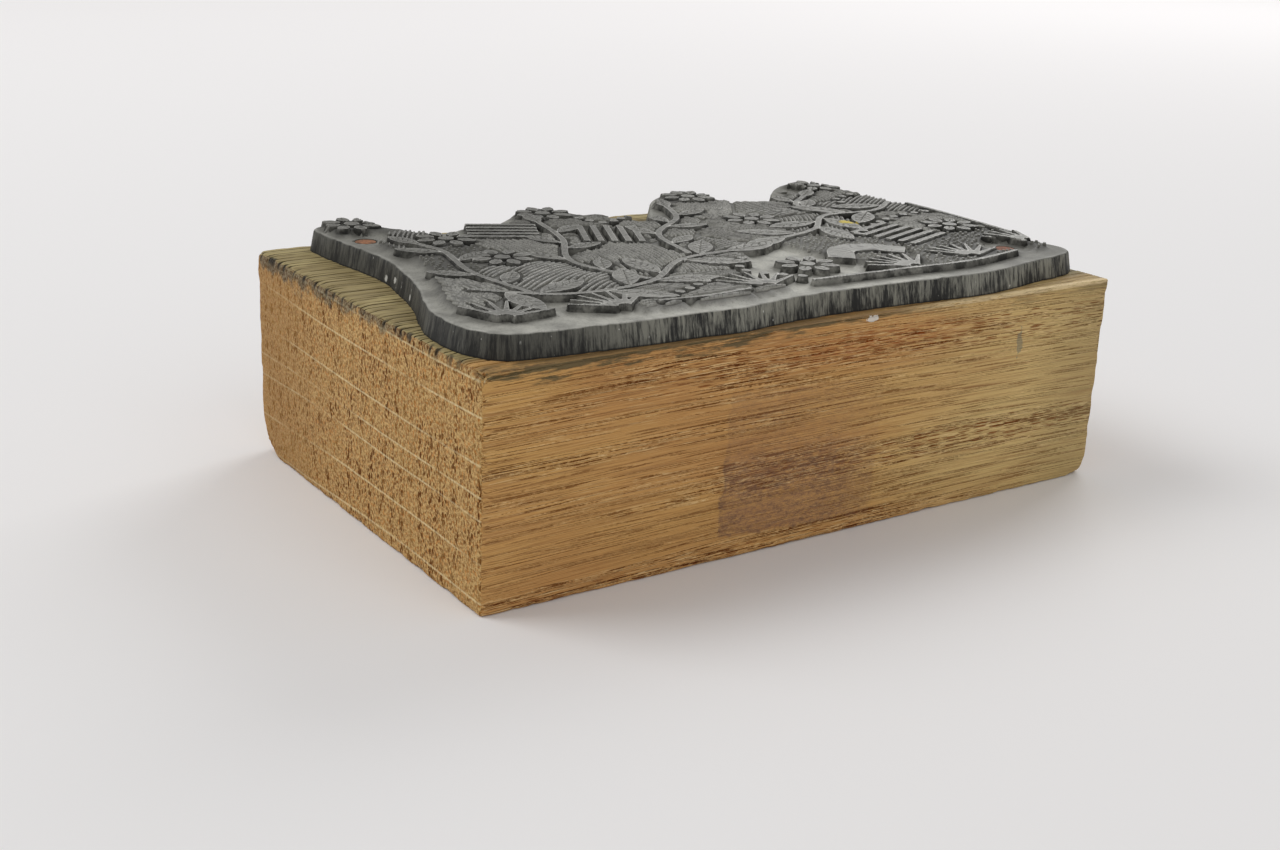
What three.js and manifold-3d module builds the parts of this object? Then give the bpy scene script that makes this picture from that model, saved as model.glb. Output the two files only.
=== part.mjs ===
import * as THREE from 'three';
import { mergeVertices } from 'three/addons/utils/BufferGeometryUtils.js';
import Module from 'manifold-3d';

// A letterpress printing block: an etched metal relief plate nailed to a block of oak, in millimetres.
// The origin is the middle of the block's foot. +X runs along the block, +Z points to the printing face.

// Oak block
const blockLength = 71.2;
const blockWidth = 46;
const blockHeight = 20.7;
const uprightEdgeRadius = 0.6;
const arrisRadius = 0.4;
const lowerWearHeight = 2.4;
const upperWearHeight = 1.2;
const footBackLeftWear = 2.6;
const footFrontRightWear = 1.6;
const topBackLeftWear = 0.4;
const topFrontLeftWear = 0.5;

// Relief plate: its foot keeps these margins to the block's sides
const plateLeftMargin = 0.6;
const plateRightMargin = 0.3;
const plateFrontMargin = 0.3;
const plateBackMargin = 0.4;
const plateThickness = 2.1;
const reliefHeight = 0.76;
const edgeRun = 0.4;
const plateArris = 0.15;
const shoulderRun = 0.22;
const fieldMargin = 0.5;

// Nails and the sunk pin
const headRadius = 1.05;
const headThickness = 0.45;
const shankRadius = 0.5;
const nailLength = 14;
const nailTipLength = 1.8;
const nailClearance = 0.15;
const pinSink = 0.6;
const nailClearing = 0.7;

// Motifs of the relief
const stemWidth = 0.6;
const leafLength = 6.2;
const leafWidth = 2.4;
const smallLeafLength = 4.4;
const smallLeafWidth = 1.7;
const leafStalk = 0.5;
const petalStart = 1.15;
const petalLength = 1.9;
const petalWidth = 1.15;
const flowerEyeRadius = 0.75;
const bladeLength = 4.2;
const bladeRootWidth = 0.6;
const bladeTipWidth = 0.2;
const bladeStart = 0.6;
const beadRadius = 0.45;
const beadPitch = 1.7;
const slatLength = 7;
const slatWidth = 0.6;
const slatPitch = 1.35;
const ribbonWidth = 2.6;
const rippleWidth = 0.4;

// One overrun serves every cut and every solid that is sunk into another.
const overrun = 1;

const edgeSteps = 185;
const roundSides = 20;
const beadSides = 8;
const cornerSteps = 4;
const roundingSteps = 3;
const wearSteps = 4;
const stemSteps = 12;
const leafSteps = 5;
const petalSteps = 3;
const petalCount = 8;
const leafAngle = THREE.MathUtils.degToRad(46);
const leafBluntness = 0.8;
const petalBluntness = 0.7;

const groundLevel = blockHeight + plateThickness;
const printingLevel = groundLevel + reliefHeight;
const plateLength = blockLength - plateLeftMargin - plateRightMargin;
const plateWidth = blockWidth - plateFrontMargin - plateBackMargin;

// The routed outline of the plate's foot, in shares of the plate's length and width: the front edge from
// the left, the right end, the lobes and notches of the back edge from the right, and the left bay.
const plateOutlineShares = [
  [0.002, 0.163], [0.011, 0.088], [0.033, 0.039], [0.08, 0.024], [0.171, 0.013], [0.238, 0.008],
  [0.299, 0.008], [0.351, 0.001], [0.414, 0.015], [0.485, 0.024], [0.562, 0.024], [0.642, 0.019],
  [0.72, 0.011], [0.775, 0.009], [0.831, 0.022], [0.89, 0.042], [0.939, 0.053], [0.983, 0.077],
  [0.997, 0.119], [0.99, 0.196], [0.994, 0.302], [0.997, 0.413], [0.999, 0.545], [0.994, 0.656],
  [0.986, 0.766], [0.973, 0.845], [0.96, 0.89], [0.959, 0.947], [0.935, 0.986], [0.902, 0.973],
  [0.853, 0.916], [0.808, 0.832], [0.787, 0.806], [0.752, 0.819], [0.73, 0.854], [0.725, 0.916],
  [0.727, 0.962], [0.7, 0.998], [0.654, 0.973], [0.618, 0.93], [0.589, 0.87], [0.562, 0.81],
  [0.54, 0.757], [0.523, 0.722], [0.513, 0.752], [0.504, 0.8], [0.474, 0.826], [0.45, 0.867],
  [0.437, 0.92], [0.415, 0.956], [0.384, 0.947],
  [0.341, 0.885], [0.299, 0.839], [0.253, 0.837], [0.222, 0.815], [0.196, 0.832], [0.166, 0.885],
  [0.148, 0.929], [0.147, 0.974], [0.124, 0.998], [0.085, 0.993], [0.06, 0.965], [0.057, 0.901],
  [0.06, 0.821], [0.068, 0.722], [0.07, 0.623], [0.06, 0.536], [0.043, 0.417], [0.02, 0.322],
  [0.004, 0.236],
];

// Places of the fixings, in shares of the plate's length and width
const leftNailShares = [0.097, 0.804];
const rightNailShares = [0.905, 0.168];
const backPinShares = [0.872, 0.876];

// Stems with the leaves that they carry, in the same shares, each from its foot to its tip
const spraysShares = [
  { route: [[0.08, 0.3], [0.17, 0.19], [0.3, 0.2], [0.41, 0.33], [0.53, 0.36]], leaves: 9, large: true },
  { route: [[0.95, 0.63], [0.88, 0.56], [0.78, 0.56], [0.7, 0.45], [0.6, 0.4]], leaves: 8, large: true },
  { route: [[0.31, 0.22], [0.27, 0.4], [0.33, 0.6], [0.36, 0.8]], leaves: 6, large: false },
  { route: [[0.44, 0.37], [0.47, 0.55], [0.56, 0.68], [0.6, 0.82]], leaves: 6, large: false },
  { route: [[0.8, 0.57], [0.79, 0.68], [0.85, 0.77]], leaves: 3, large: false },
  { route: [[0.14, 0.22], [0.125, 0.42], [0.145, 0.6], [0.13, 0.7]], leaves: 5, large: false },
];

const flowersShares = [
  [0.108, 0.912], [0.393, 0.845], [0.672, 0.88], [0.925, 0.87], [0.2, 0.5],
  [0.66, 0.6], [0.55, 0.19], [0.915, 0.36], [0.185, 0.7],
];

// Tufts of blades along the front, each with its place and the way its middle blade points in degrees
const tuftsShares = [
  { at: [0.06, 0.1], towards: 60 }, { at: [0.21, 0.07], towards: 95 }, { at: [0.43, 0.08], towards: 80 },
  { at: [0.68, 0.08], towards: 100 }, { at: [0.8, 0.1], towards: 75 }, { at: [0.95, 0.16], towards: 120 },
];
const tuftBlades = 7;
const tuftSpread = 110;

const slatPanelsShares = [
  { at: [0.8, 0.34], turn: 20, slats: 6 }, { at: [0.41, 0.6], turn: 65, slats: 5 },
  { at: [0.28, 0.72], turn: -25, slats: 5 },
];

const ribbonShares = [[0.615, 0.2], [0.65, 0.26], [0.69, 0.26], [0.73, 0.2]];

const beadRowsShares = [
  [[0.93, 0.74], [0.88, 0.7], [0.87, 0.63]], [[0.5, 0.11], [0.45, 0.2], [0.49, 0.29]],
  [[0.95, 0.5], [0.87, 0.48], [0.74, 0.37]], [[0.5, 0.74], [0.44, 0.7], [0.42, 0.8]],
  [[0.24, 0.12], [0.3, 0.11], [0.37, 0.16]],
];

const ripplesShares = [
  [[0.26, 0.075], [0.33, 0.066], [0.4, 0.076]], [[0.5, 0.078], [0.64, 0.07], [0.78, 0.066], [0.88, 0.096]],
  [[0.965, 0.24], [0.97, 0.4], [0.97, 0.6]],
];

const wasm = await Module();
wasm.setup();

function platePlace([lengthShare, widthShare]) {
  return new THREE.Vector2(
    -blockLength / 2 + plateLeftMargin + lengthShare * plateLength,
    -blockWidth / 2 + plateFrontMargin + widthShare * plateWidth,
  );
}

// A smooth curve through places on the plate, walked in equal steps
function routePoints(shares, closed, steps) {
  const places = shares.map(platePlace);
  const knots = places.map((at) => new THREE.Vector3(at.x, at.y, 0));
  const curve = new THREE.CatmullRomCurve3(knots, closed, 'centripetal');
  const points = curve.getSpacedPoints(steps).map((point) => new THREE.Vector2(point.x, point.y));
  return closed ? points.slice(0, -1) : points;
}

// A solid through outlines stacked from the lowest up, each {outline, height} with the same count of
// points running anticlockwise seen from above
function loft(sections) {
  const count = sections[0].outline.length;
  const positions = sections.flatMap(({ outline, height }) => outline.flatMap((p) => [p.x, p.y, height]));
  const index = [];
  for (let level = 0; level < sections.length - 1; level += 1) {
    for (let i = 0; i < count; i += 1) {
      const near = level * count + i;
      const next = level * count + ((i + 1) % count);
      index.push(near, next, next + count, near, next + count, near + count);
    }
  }
  const top = (sections.length - 1) * count;
  for (const [a, b, c] of THREE.ShapeUtils.triangulateShape(sections[0].outline, [])) {
    index.push(a, c, b);
  }
  for (const [a, b, c] of THREE.ShapeUtils.triangulateShape(sections.at(-1).outline, [])) {
    index.push(top + a, top + b, top + c);
  }
  const geometry = new THREE.BufferGeometry();
  geometry.setAttribute('position', new THREE.Float32BufferAttribute(positions, 3));
  geometry.setIndex(index);
  return geometry;
}

function toSolid(geometry) {
  const bare = geometry.clone();
  bare.deleteAttribute('normal');
  bare.deleteAttribute('uv');
  const merged = mergeVertices(bare);
  return new wasm.Manifold(new wasm.Mesh({
    numProp: 3,
    vertProperties: new Float32Array(merged.attributes.position.array),
    triVerts: new Uint32Array(merged.index.array),
  }));
}

function toGeometry(solid) {
  const { numProp, vertProperties, triVerts } = solid.getMesh();
  const geometry = new THREE.BufferGeometry();
  geometry.setAttribute('position', new THREE.BufferAttribute(vertProperties, numProp));
  geometry.setIndex(new THREE.BufferAttribute(triVerts, 1));
  return geometry;
}

function joinAll(solids) {
  return solids.reduce((whole, solid) => whole.add(solid));
}

// Moves each point of an anticlockwise outline square to its edge, outwards where the distance is positive
function grow(outline, distance) {
  return outline.map((point, i) => {
    const before = outline[(i + outline.length - 1) % outline.length];
    const after = outline[(i + 1) % outline.length];
    const arriving = point.clone().sub(before).normalize();
    const leaving = after.clone().sub(point).normalize();
    const along = arriving.clone().add(leaving).normalize();
    const outwards = new THREE.Vector2(along.y, -along.x);
    const mitre = Math.max(along.dot(arriving), Math.SQRT1_2);
    return point.clone().addScaledVector(outwards, distance / mitre);
  });
}

function moved(outline, at, turn) {
  return outline.map((p) => p.clone().rotateAround(new THREE.Vector2(), turn).add(at));
}

function disc(radius, sides) {
  return Array.from({ length: sides }, (_, side) => {
    const angle = (side / sides) * 2 * Math.PI;
    return new THREE.Vector2(Math.cos(angle), Math.sin(angle)).multiplyScalar(radius);
  });
}

// A round cut from its floor up through everything above
function bore(shares, radius, floor) {
  const outline = moved(disc(radius, roundSides), platePlace(shares), 0);
  return toSolid(loft([{ outline, height: floor }, { outline, height: printingLevel + overrun }]));
}

// Oak block: its corners are rubbed round by handling, most at the ends of the upright edges
function cornerWear(reach, height, distance) {
  const share = Math.max(0, 1 - distance / (arrisRadius + height));
  return reach * (1 - Math.sqrt(1 - share * share));
}

// The block's outline at a height, drawn in by the rounding of the arris there
function blockOutline(height, inset) {
  const fromTop = blockHeight - height;
  const wears = [
    cornerWear(topFrontLeftWear, upperWearHeight, fromTop),
    cornerWear(footFrontRightWear, lowerWearHeight, height),
    0,
    cornerWear(footBackLeftWear, lowerWearHeight, height)
      + cornerWear(topBackLeftWear, upperWearHeight, fromTop),
  ];
  return wears.flatMap((wear, corner) => {
    const radius = uprightEdgeRadius + wear + arrisRadius - inset;
    const start = Math.PI + corner * (Math.PI / 2);
    const middle = start + Math.PI / 4;
    const centre = new THREE.Vector2(
      Math.sign(Math.cos(middle)) * (blockLength / 2 - inset - radius),
      Math.sign(Math.sin(middle)) * (blockWidth / 2 - inset - radius),
    );
    return Array.from({ length: cornerSteps + 1 }, (_, step) => {
      const angle = start + (step / cornerSteps) * (Math.PI / 2);
      return centre.clone().add(new THREE.Vector2(Math.cos(angle), Math.sin(angle)).multiplyScalar(radius));
    });
  });
}

// Distances from a flat face of the block at which its outline changes, with the inset of the arris
function levelsFromFace(wearHeight) {
  const rounding = Array.from({ length: roundingSteps + 1 }, (_, step) => {
    const angle = (step / roundingSteps) * (Math.PI / 2);
    return { distance: arrisRadius * (1 - Math.cos(angle)), inset: arrisRadius * (1 - Math.sin(angle)) };
  });
  const wear = Array.from({ length: wearSteps }, (_, step) => (
    { distance: arrisRadius + (wearHeight * (step + 1)) / wearSteps, inset: 0 }
  ));
  return [...rounding, ...wear];
}

function oakBlock() {
  const lower = levelsFromFace(lowerWearHeight).map(({ distance, inset }) => (
    { outline: blockOutline(distance, inset), height: distance }
  ));
  const upper = levelsFromFace(upperWearHeight).reverse().map(({ distance, inset }) => (
    { outline: blockOutline(blockHeight - distance, inset), height: blockHeight - distance }
  ));
  const block = toSolid(loft([...lower, ...upper]));
  return toGeometry(block.subtract(joinAll([
    bore(leftNailShares, shankRadius + nailClearance, groundLevel - nailLength - nailClearance),
    bore(rightNailShares, shankRadius + nailClearance, groundLevel - nailLength - nailClearance),
    bore(backPinShares, shankRadius + nailClearance, groundLevel - pinSink - nailLength - nailClearance),
  ])));
}

// Outlines of the motifs, each lying along +X from its foot at the origin
function oval(length, width, steps, start = 0, bluntness = 1) {
  const side = (sign, step) => {
    const share = step / steps;
    const half = (width / 2) * Math.sin(Math.PI * share) ** bluntness;
    return new THREE.Vector2(start + length * share, sign * half);
  };
  const lower = Array.from({ length: steps }, (_, step) => side(-1, step));
  const upper = Array.from({ length: steps }, (_, step) => side(1, steps - step));
  return [...lower, ...upper];
}

function taper(start, length, startWidth, endWidth) {
  return [
    new THREE.Vector2(start, -startWidth / 2),
    new THREE.Vector2(start + length, -endWidth / 2),
    new THREE.Vector2(start + length, endWidth / 2),
    new THREE.Vector2(start, startWidth / 2),
  ];
}

// A band of even width along a route
function band(points, width) {
  const edge = (side) => points.map((point, i) => {
    const before = points[Math.max(i - 1, 0)];
    const after = points[Math.min(i + 1, points.length - 1)];
    const along = after.clone().sub(before).normalize();
    return point.clone().add(new THREE.Vector2(-along.y, along.x).multiplyScalar((side * width) / 2));
  });
  return [...edge(-1), ...edge(1).reverse()];
}

// Motifs, each a list of outlines in their places
function spray({ route, leaves, large }) {
  const length = large ? leafLength : smallLeafLength;
  const width = large ? leafWidth : smallLeafWidth;
  const points = routePoints(route, false, stemSteps);
  const outlines = [band(points, stemWidth)];
  for (let leaf = 1; leaf <= leaves; leaf += 1) {
    const step = Math.round((leaf / leaves) * (stemSteps - 1));
    const along = points[step + 1].clone().sub(points[step]).angle();
    const side = leaf % 2 === 0 ? 1 : -1;
    const turn = leaf === leaves ? along : along + side * leafAngle;
    outlines.push(moved(oval(length, width, leafSteps, leafStalk, leafBluntness), points[step], turn));
  }
  return outlines;
}

function flower(shares) {
  const at = platePlace(shares);
  const petals = Array.from({ length: petalCount }, (_, petal) => (
    moved(
      oval(petalLength, petalWidth, petalSteps, petalStart, petalBluntness),
      at,
      (petal / petalCount) * 2 * Math.PI,
    )
  ));
  return [moved(disc(flowerEyeRadius, beadSides), at, 0), ...petals];
}

function tuft({ at, towards }) {
  return Array.from({ length: tuftBlades }, (_, blade) => {
    const lean = (blade / (tuftBlades - 1) - 1 / 2) * tuftSpread;
    const turn = THREE.MathUtils.degToRad(towards + lean);
    return moved(taper(bladeStart, bladeLength, bladeRootWidth, bladeTipWidth), platePlace(at), turn);
  });
}

function slatPanel({ at, turn, slats }) {
  const angle = THREE.MathUtils.degToRad(turn);
  const across = new THREE.Vector2(-Math.sin(angle), Math.cos(angle));
  return Array.from({ length: slats }, (_, slat) => {
    const offset = (slat - (slats - 1) / 2) * slatPitch;
    const middle = platePlace(at).addScaledVector(across, offset);
    return moved(taper(-slatLength / 2, slatLength, slatWidth, slatWidth), middle, angle);
  });
}

function beadRow(shares) {
  const length = new THREE.CatmullRomCurve3(
    shares.map(platePlace).map((at) => new THREE.Vector3(at.x, at.y, 0)),
  ).getLength();
  const beads = Math.max(1, Math.round(length / beadPitch));
  return routePoints(shares, false, beads).map((at) => moved(disc(beadRadius, beadSides), at, 0));
}

// A motif stands on the etched ground with a sloping shoulder and is flat at printing height
function raised(outline) {
  const foot = grow(outline, shoulderRun * (1 + overrun / reliefHeight));
  return toSolid(loft([
    { outline: foot, height: groundLevel - overrun },
    { outline, height: printingLevel },
  ]));
}

function relief(plateFoot) {
  const outlines = [
    ...spraysShares.flatMap(spray),
    ...flowersShares.flatMap(flower),
    ...tuftsShares.flatMap(tuft),
    ...slatPanelsShares.flatMap(slatPanel),
    ...beadRowsShares.flatMap(beadRow),
    ...ripplesShares.map((shares) => band(routePoints(shares, false, stemSteps), rippleWidth)),
    band(routePoints(ribbonShares, false, stemSteps), ribbonWidth),
  ];
  const fieldOutline = grow(plateFoot, -edgeRun - plateArris - fieldMargin);
  const field = toSolid(loft([
    { outline: fieldOutline, height: groundLevel - overrun - overrun },
    { outline: fieldOutline, height: printingLevel + overrun },
  ]));
  const clearings = [leftNailShares, rightNailShares, backPinShares].map((shares) => (
    bore(shares, headRadius + nailClearing, groundLevel - overrun)
  ));
  return joinAll(outlines.map(raised)).intersect(field).subtract(joinAll(clearings));
}

function reliefPlate() {
  const foot = routePoints(plateOutlineShares, true, edgeSteps);
  const sheet = toSolid(loft([
    { outline: foot, height: blockHeight },
    { outline: grow(foot, -edgeRun), height: groundLevel - plateArris },
    { outline: grow(foot, -edgeRun - plateArris), height: groundLevel },
  ]));
  const shanks = [leftNailShares, rightNailShares, backPinShares].map((shares) => (
    bore(shares, shankRadius + nailClearance, blockHeight - overrun)
  ));
  const heads = [leftNailShares, rightNailShares].map((shares) => (
    bore(shares, headRadius + nailClearance, groundLevel - headThickness)
  ));
  return toGeometry(sheet.add(relief(foot)).subtract(joinAll([...shanks, ...heads])));
}

// A turned fixing on its own axis: its profile runs from the tip up, in radius and height
function turned(profile) {
  const points = profile.map(([radius, height]) => new THREE.Vector2(radius, height));
  const geometry = new THREE.LatheGeometry(points, roundSides);
  geometry.rotateX(Math.PI / 2);
  return toGeometry(toSolid(geometry));
}

function headedNail() {
  return turned([
    [0, groundLevel - nailLength],
    [shankRadius, groundLevel - nailLength + nailTipLength],
    [shankRadius, groundLevel - headThickness],
    [headRadius, groundLevel - headThickness],
    [headRadius, groundLevel],
    [0, groundLevel],
  ]);
}

function sunkPin() {
  const top = groundLevel - pinSink;
  return turned([
    [0, top - nailLength],
    [shankRadius, top - nailLength + nailTipLength],
    [shankRadius, top],
    [0, top],
  ]);
}

function named(name, geometry, material, shares) {
  const mesh = new THREE.Mesh(geometry, material);
  mesh.name = name;
  if (shares) {
    const at = platePlace(shares);
    mesh.position.set(at.x, at.y, 0);
  }
  return mesh;
}

const oak = new THREE.MeshStandardMaterial({ color: '#96703f', roughness: 0.8, metalness: 0 });
const etchedMetal = new THREE.MeshStandardMaterial({ color: '#6f6e69', roughness: 0.5, metalness: 0.7 });
const rustedSteel = new THREE.MeshStandardMaterial({ color: '#9a5f38', roughness: 0.8, metalness: 0.4 });
const darkSteel = new THREE.MeshStandardMaterial({ color: '#2b2724', roughness: 0.8, metalness: 0.4 });

const printingBlock = new THREE.Group();
printingBlock.add(
  named('wood_block', oakBlock(), oak),
  named('printing_plate', reliefPlate(), etchedMetal),
  named('plate_nail_left', headedNail(), rustedSteel, leftNailShares),
  named('plate_nail_right', headedNail(), rustedSteel, rightNailShares),
  named('plate_pin_back', sunkPin(), darkSteel, backPinShares),
);

export default printingBlock;
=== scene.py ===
import itertools
import math
import bpy
import numpy as np
from mathutils import Matrix, Vector, geometry


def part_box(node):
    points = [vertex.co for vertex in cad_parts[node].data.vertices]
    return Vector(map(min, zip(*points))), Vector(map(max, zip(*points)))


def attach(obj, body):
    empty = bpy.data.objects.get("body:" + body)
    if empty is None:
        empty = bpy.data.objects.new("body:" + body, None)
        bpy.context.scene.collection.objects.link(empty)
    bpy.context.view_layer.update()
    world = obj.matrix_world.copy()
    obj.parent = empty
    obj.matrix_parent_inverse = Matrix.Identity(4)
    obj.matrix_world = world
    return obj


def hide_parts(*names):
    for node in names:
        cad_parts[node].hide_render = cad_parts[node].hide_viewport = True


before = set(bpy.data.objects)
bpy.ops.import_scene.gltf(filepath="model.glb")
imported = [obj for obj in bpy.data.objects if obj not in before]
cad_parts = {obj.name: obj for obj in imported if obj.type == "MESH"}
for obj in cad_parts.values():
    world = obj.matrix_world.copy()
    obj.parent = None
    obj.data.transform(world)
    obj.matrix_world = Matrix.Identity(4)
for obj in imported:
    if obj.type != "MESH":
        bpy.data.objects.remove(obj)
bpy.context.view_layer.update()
mm = 0.001

blockLow, blockHigh = (np.array(corner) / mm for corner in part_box("wood_block"))
plateLow, plateHigh = (np.array(corner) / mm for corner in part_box("printing_plate"))
blockSize = blockHigh - blockLow
print("frame loaded, block", blockSize.round(2), "plate top", round(float(plateHigh[2]), 2))


# Small helpers for shapes, which are worked out in millimetres and turned to metres in makePiece

def unitNoise(points, cell, seed):
    # smooth value noise from -1 to 1, cell is the size of a lump along each axis
    spot = np.asarray(points, float) / np.asarray(cell, float)
    base = np.floor(spot)
    part = spot - base
    part = part * part * (3 - 2 * part)
    total = np.zeros(len(spot))
    for corner in itertools.product((0, 1), repeat=3):
        lattice = (base + corner) @ np.array([127.1, 311.7, 74.7]) + seed * 53.3
        value = np.sin(lattice) * 43758.5453
        weight = np.prod(np.where(corner, part, 1 - part), axis=1)
        total += weight * (value - np.floor(value))
    return 2 * total - 1


def bell(distance, width):
    return np.exp(-((distance / width) ** 2))


def makePiece(name, points, faces, material):
    mesh = bpy.data.meshes.new(name)
    mesh.from_pydata((np.asarray(points) * mm).tolist(), [], [list(map(int, face)) for face in faces])
    mesh.polygons.foreach_set("use_smooth", [True] * len(mesh.polygons))
    mesh.materials.append(material)
    piece = bpy.data.objects.new(name, mesh)
    bpy.context.scene.collection.objects.link(piece)
    return piece


def paintPoints(piece, name, values):
    values = np.asarray(values, np.float32)
    kind, key = ("FLOAT", "value") if values.ndim == 1 else ("FLOAT_VECTOR", "vector")
    layer = piece.data.attributes.new(name, kind, "POINT")
    layer.data.foreach_set(key, values.ravel())


def addToObject(piece, node):
    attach(piece, "root")
    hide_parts(node)


# Small helpers for node trees. A Wire is a value in one, so its sums are written as plain sums.

class Wire:
    def __init__(self, socket):
        self.socket = socket
        self.tree = socket.id_data

    def __add__(self, other):
        return calc("ADD", self, other)

    def __sub__(self, other):
        return calc("SUBTRACT", self, other)

    def __rsub__(self, other):
        return calc("SUBTRACT", other, self)

    def __mul__(self, other):
        return calc("MULTIPLY", self, other)

    def __pow__(self, other):
        return calc("POWER", self, other)

    def __abs__(self):
        return calc("ABSOLUTE", self)


def join(wire, socket):
    source = getattr(wire, "socket", wire)
    source.id_data.links.new(source, socket)


def findSocket(sockets, key):
    # by its name without the spaces, or by i and its number
    if key[1:].isdigit():
        return sockets[int(key[1:])]
    return next(socket for socket in sockets if socket.name.replace(" ", "") == key)


def addNode(tree, kind, settings=None, **inputs):
    node = tree.nodes.new(kind)
    for key, value in (settings or {}).items():
        setattr(node, key, value)
    for key, value in inputs.items():
        socket = findSocket(node.inputs, key)
        if isinstance(value, (Wire, bpy.types.NodeSocket)):
            join(value, socket)
        else:
            socket.default_value = value
    return node


def made(tree, kind, settings=None, output=0, **inputs):
    return Wire(addNode(tree, kind, settings, **inputs).outputs[output])


def calc(operation, first, second=0.0):
    tree = (first if isinstance(first, Wire) else second).tree
    return made(tree, "ShaderNodeMath", {"operation": operation}, i0=first, i1=second)


def larger(first, second):
    return calc("MAXIMUM", first, second)


def stretch(place, cells):
    return made(place.tree, "ShaderNodeMapping", {"vector_type": "POINT"}, Vector=place, Scale=cells)


def noise(place, cells, detail=2.0, roughness=0.5, distortion=0.0):
    # cells to the millimetre, one number or one for each axis
    scale = cells
    if isinstance(cells, tuple):
        place, scale = stretch(place, cells), 1.0
    return made(place.tree, "ShaderNodeTexNoise", Vector=place, Scale=scale,
                Detail=detail, Roughness=roughness, Distortion=distortion)


def remap(value, low, high, newLow=0.0, newHigh=1.0):
    settings = {"clamp": True, "interpolation_type": "SMOOTHSTEP"}
    return made(value.tree, "ShaderNodeMapRange", settings,
                i0=value, i1=low, i2=high, i3=newLow, i4=newHigh)


def mixed(share, first, second):
    return made(share.tree, "ShaderNodeMix", {"data_type": "RGBA"}, 2, i0=share, i6=first, i7=second)


def coated(colour, *coats):
    # coats laid one over the other, each as (how much of it shows, its colour)
    for share, coat in coats:
        colour = mixed(share, colour, coat)
    return colour


def split(place):
    return [Wire(output) for output in addNode(place.tree, "ShaderNodeSeparateXYZ", Vector=place).outputs]


def surfaceNormal(tree):
    return split(made(tree, "ShaderNodeNewGeometry", None, "Normal"))


def painted(tree, name, output="Fac"):
    return made(tree, "ShaderNodeAttribute", {"attribute_name": name}, output)


def lineCells(place, randomness):
    # distance to the nearest of many lines that cross one axis
    settings = {"feature": "DISTANCE_TO_EDGE", "voronoi_dimensions": "1D"}
    return made(place.tree, "ShaderNodeTexVoronoi", settings, "Distance",
                W=place, Scale=1.0, Randomness=randomness)


def distanceFrom(place, spot):
    return made(place.tree, "ShaderNodeVectorMath", {"operation": "DISTANCE"}, "Value", i0=place, i1=spot)


def newMaterial(name):
    material = bpy.data.materials.new(name)
    material.use_nodes = True
    tree = material.node_tree
    place = made(tree, "ShaderNodeTexCoord", None, "Object")
    return material, tree, stretch(place, (1 / mm, 1 / mm, 1 / mm))


def finishMaterial(material, height, bumpStrength, bumpDepth, metallic=0.0, **wires):
    shader = material.node_tree.nodes["Principled BSDF"]
    shader.inputs["Metallic"].default_value = metallic
    bump = made(material.node_tree, "ShaderNodeBump",
                Strength=bumpStrength, Distance=bumpDepth * mm, Height=height)
    for key, wire in {"Normal": bump, **wires}.items():
        join(wire, findSocket(shader.inputs, key))
    return material


def srgb(red, green, blue):
    # a colour as it is seen on a screen, from 0 to 255, as Blender's own linear one
    shares = [channel / 255 for channel in (red, green, blue)]
    return tuple(c / 12.92 if c <= 0.04045 else ((c + 0.055) / 1.055) ** 2.4 for c in shares) + (1.0,)


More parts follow.
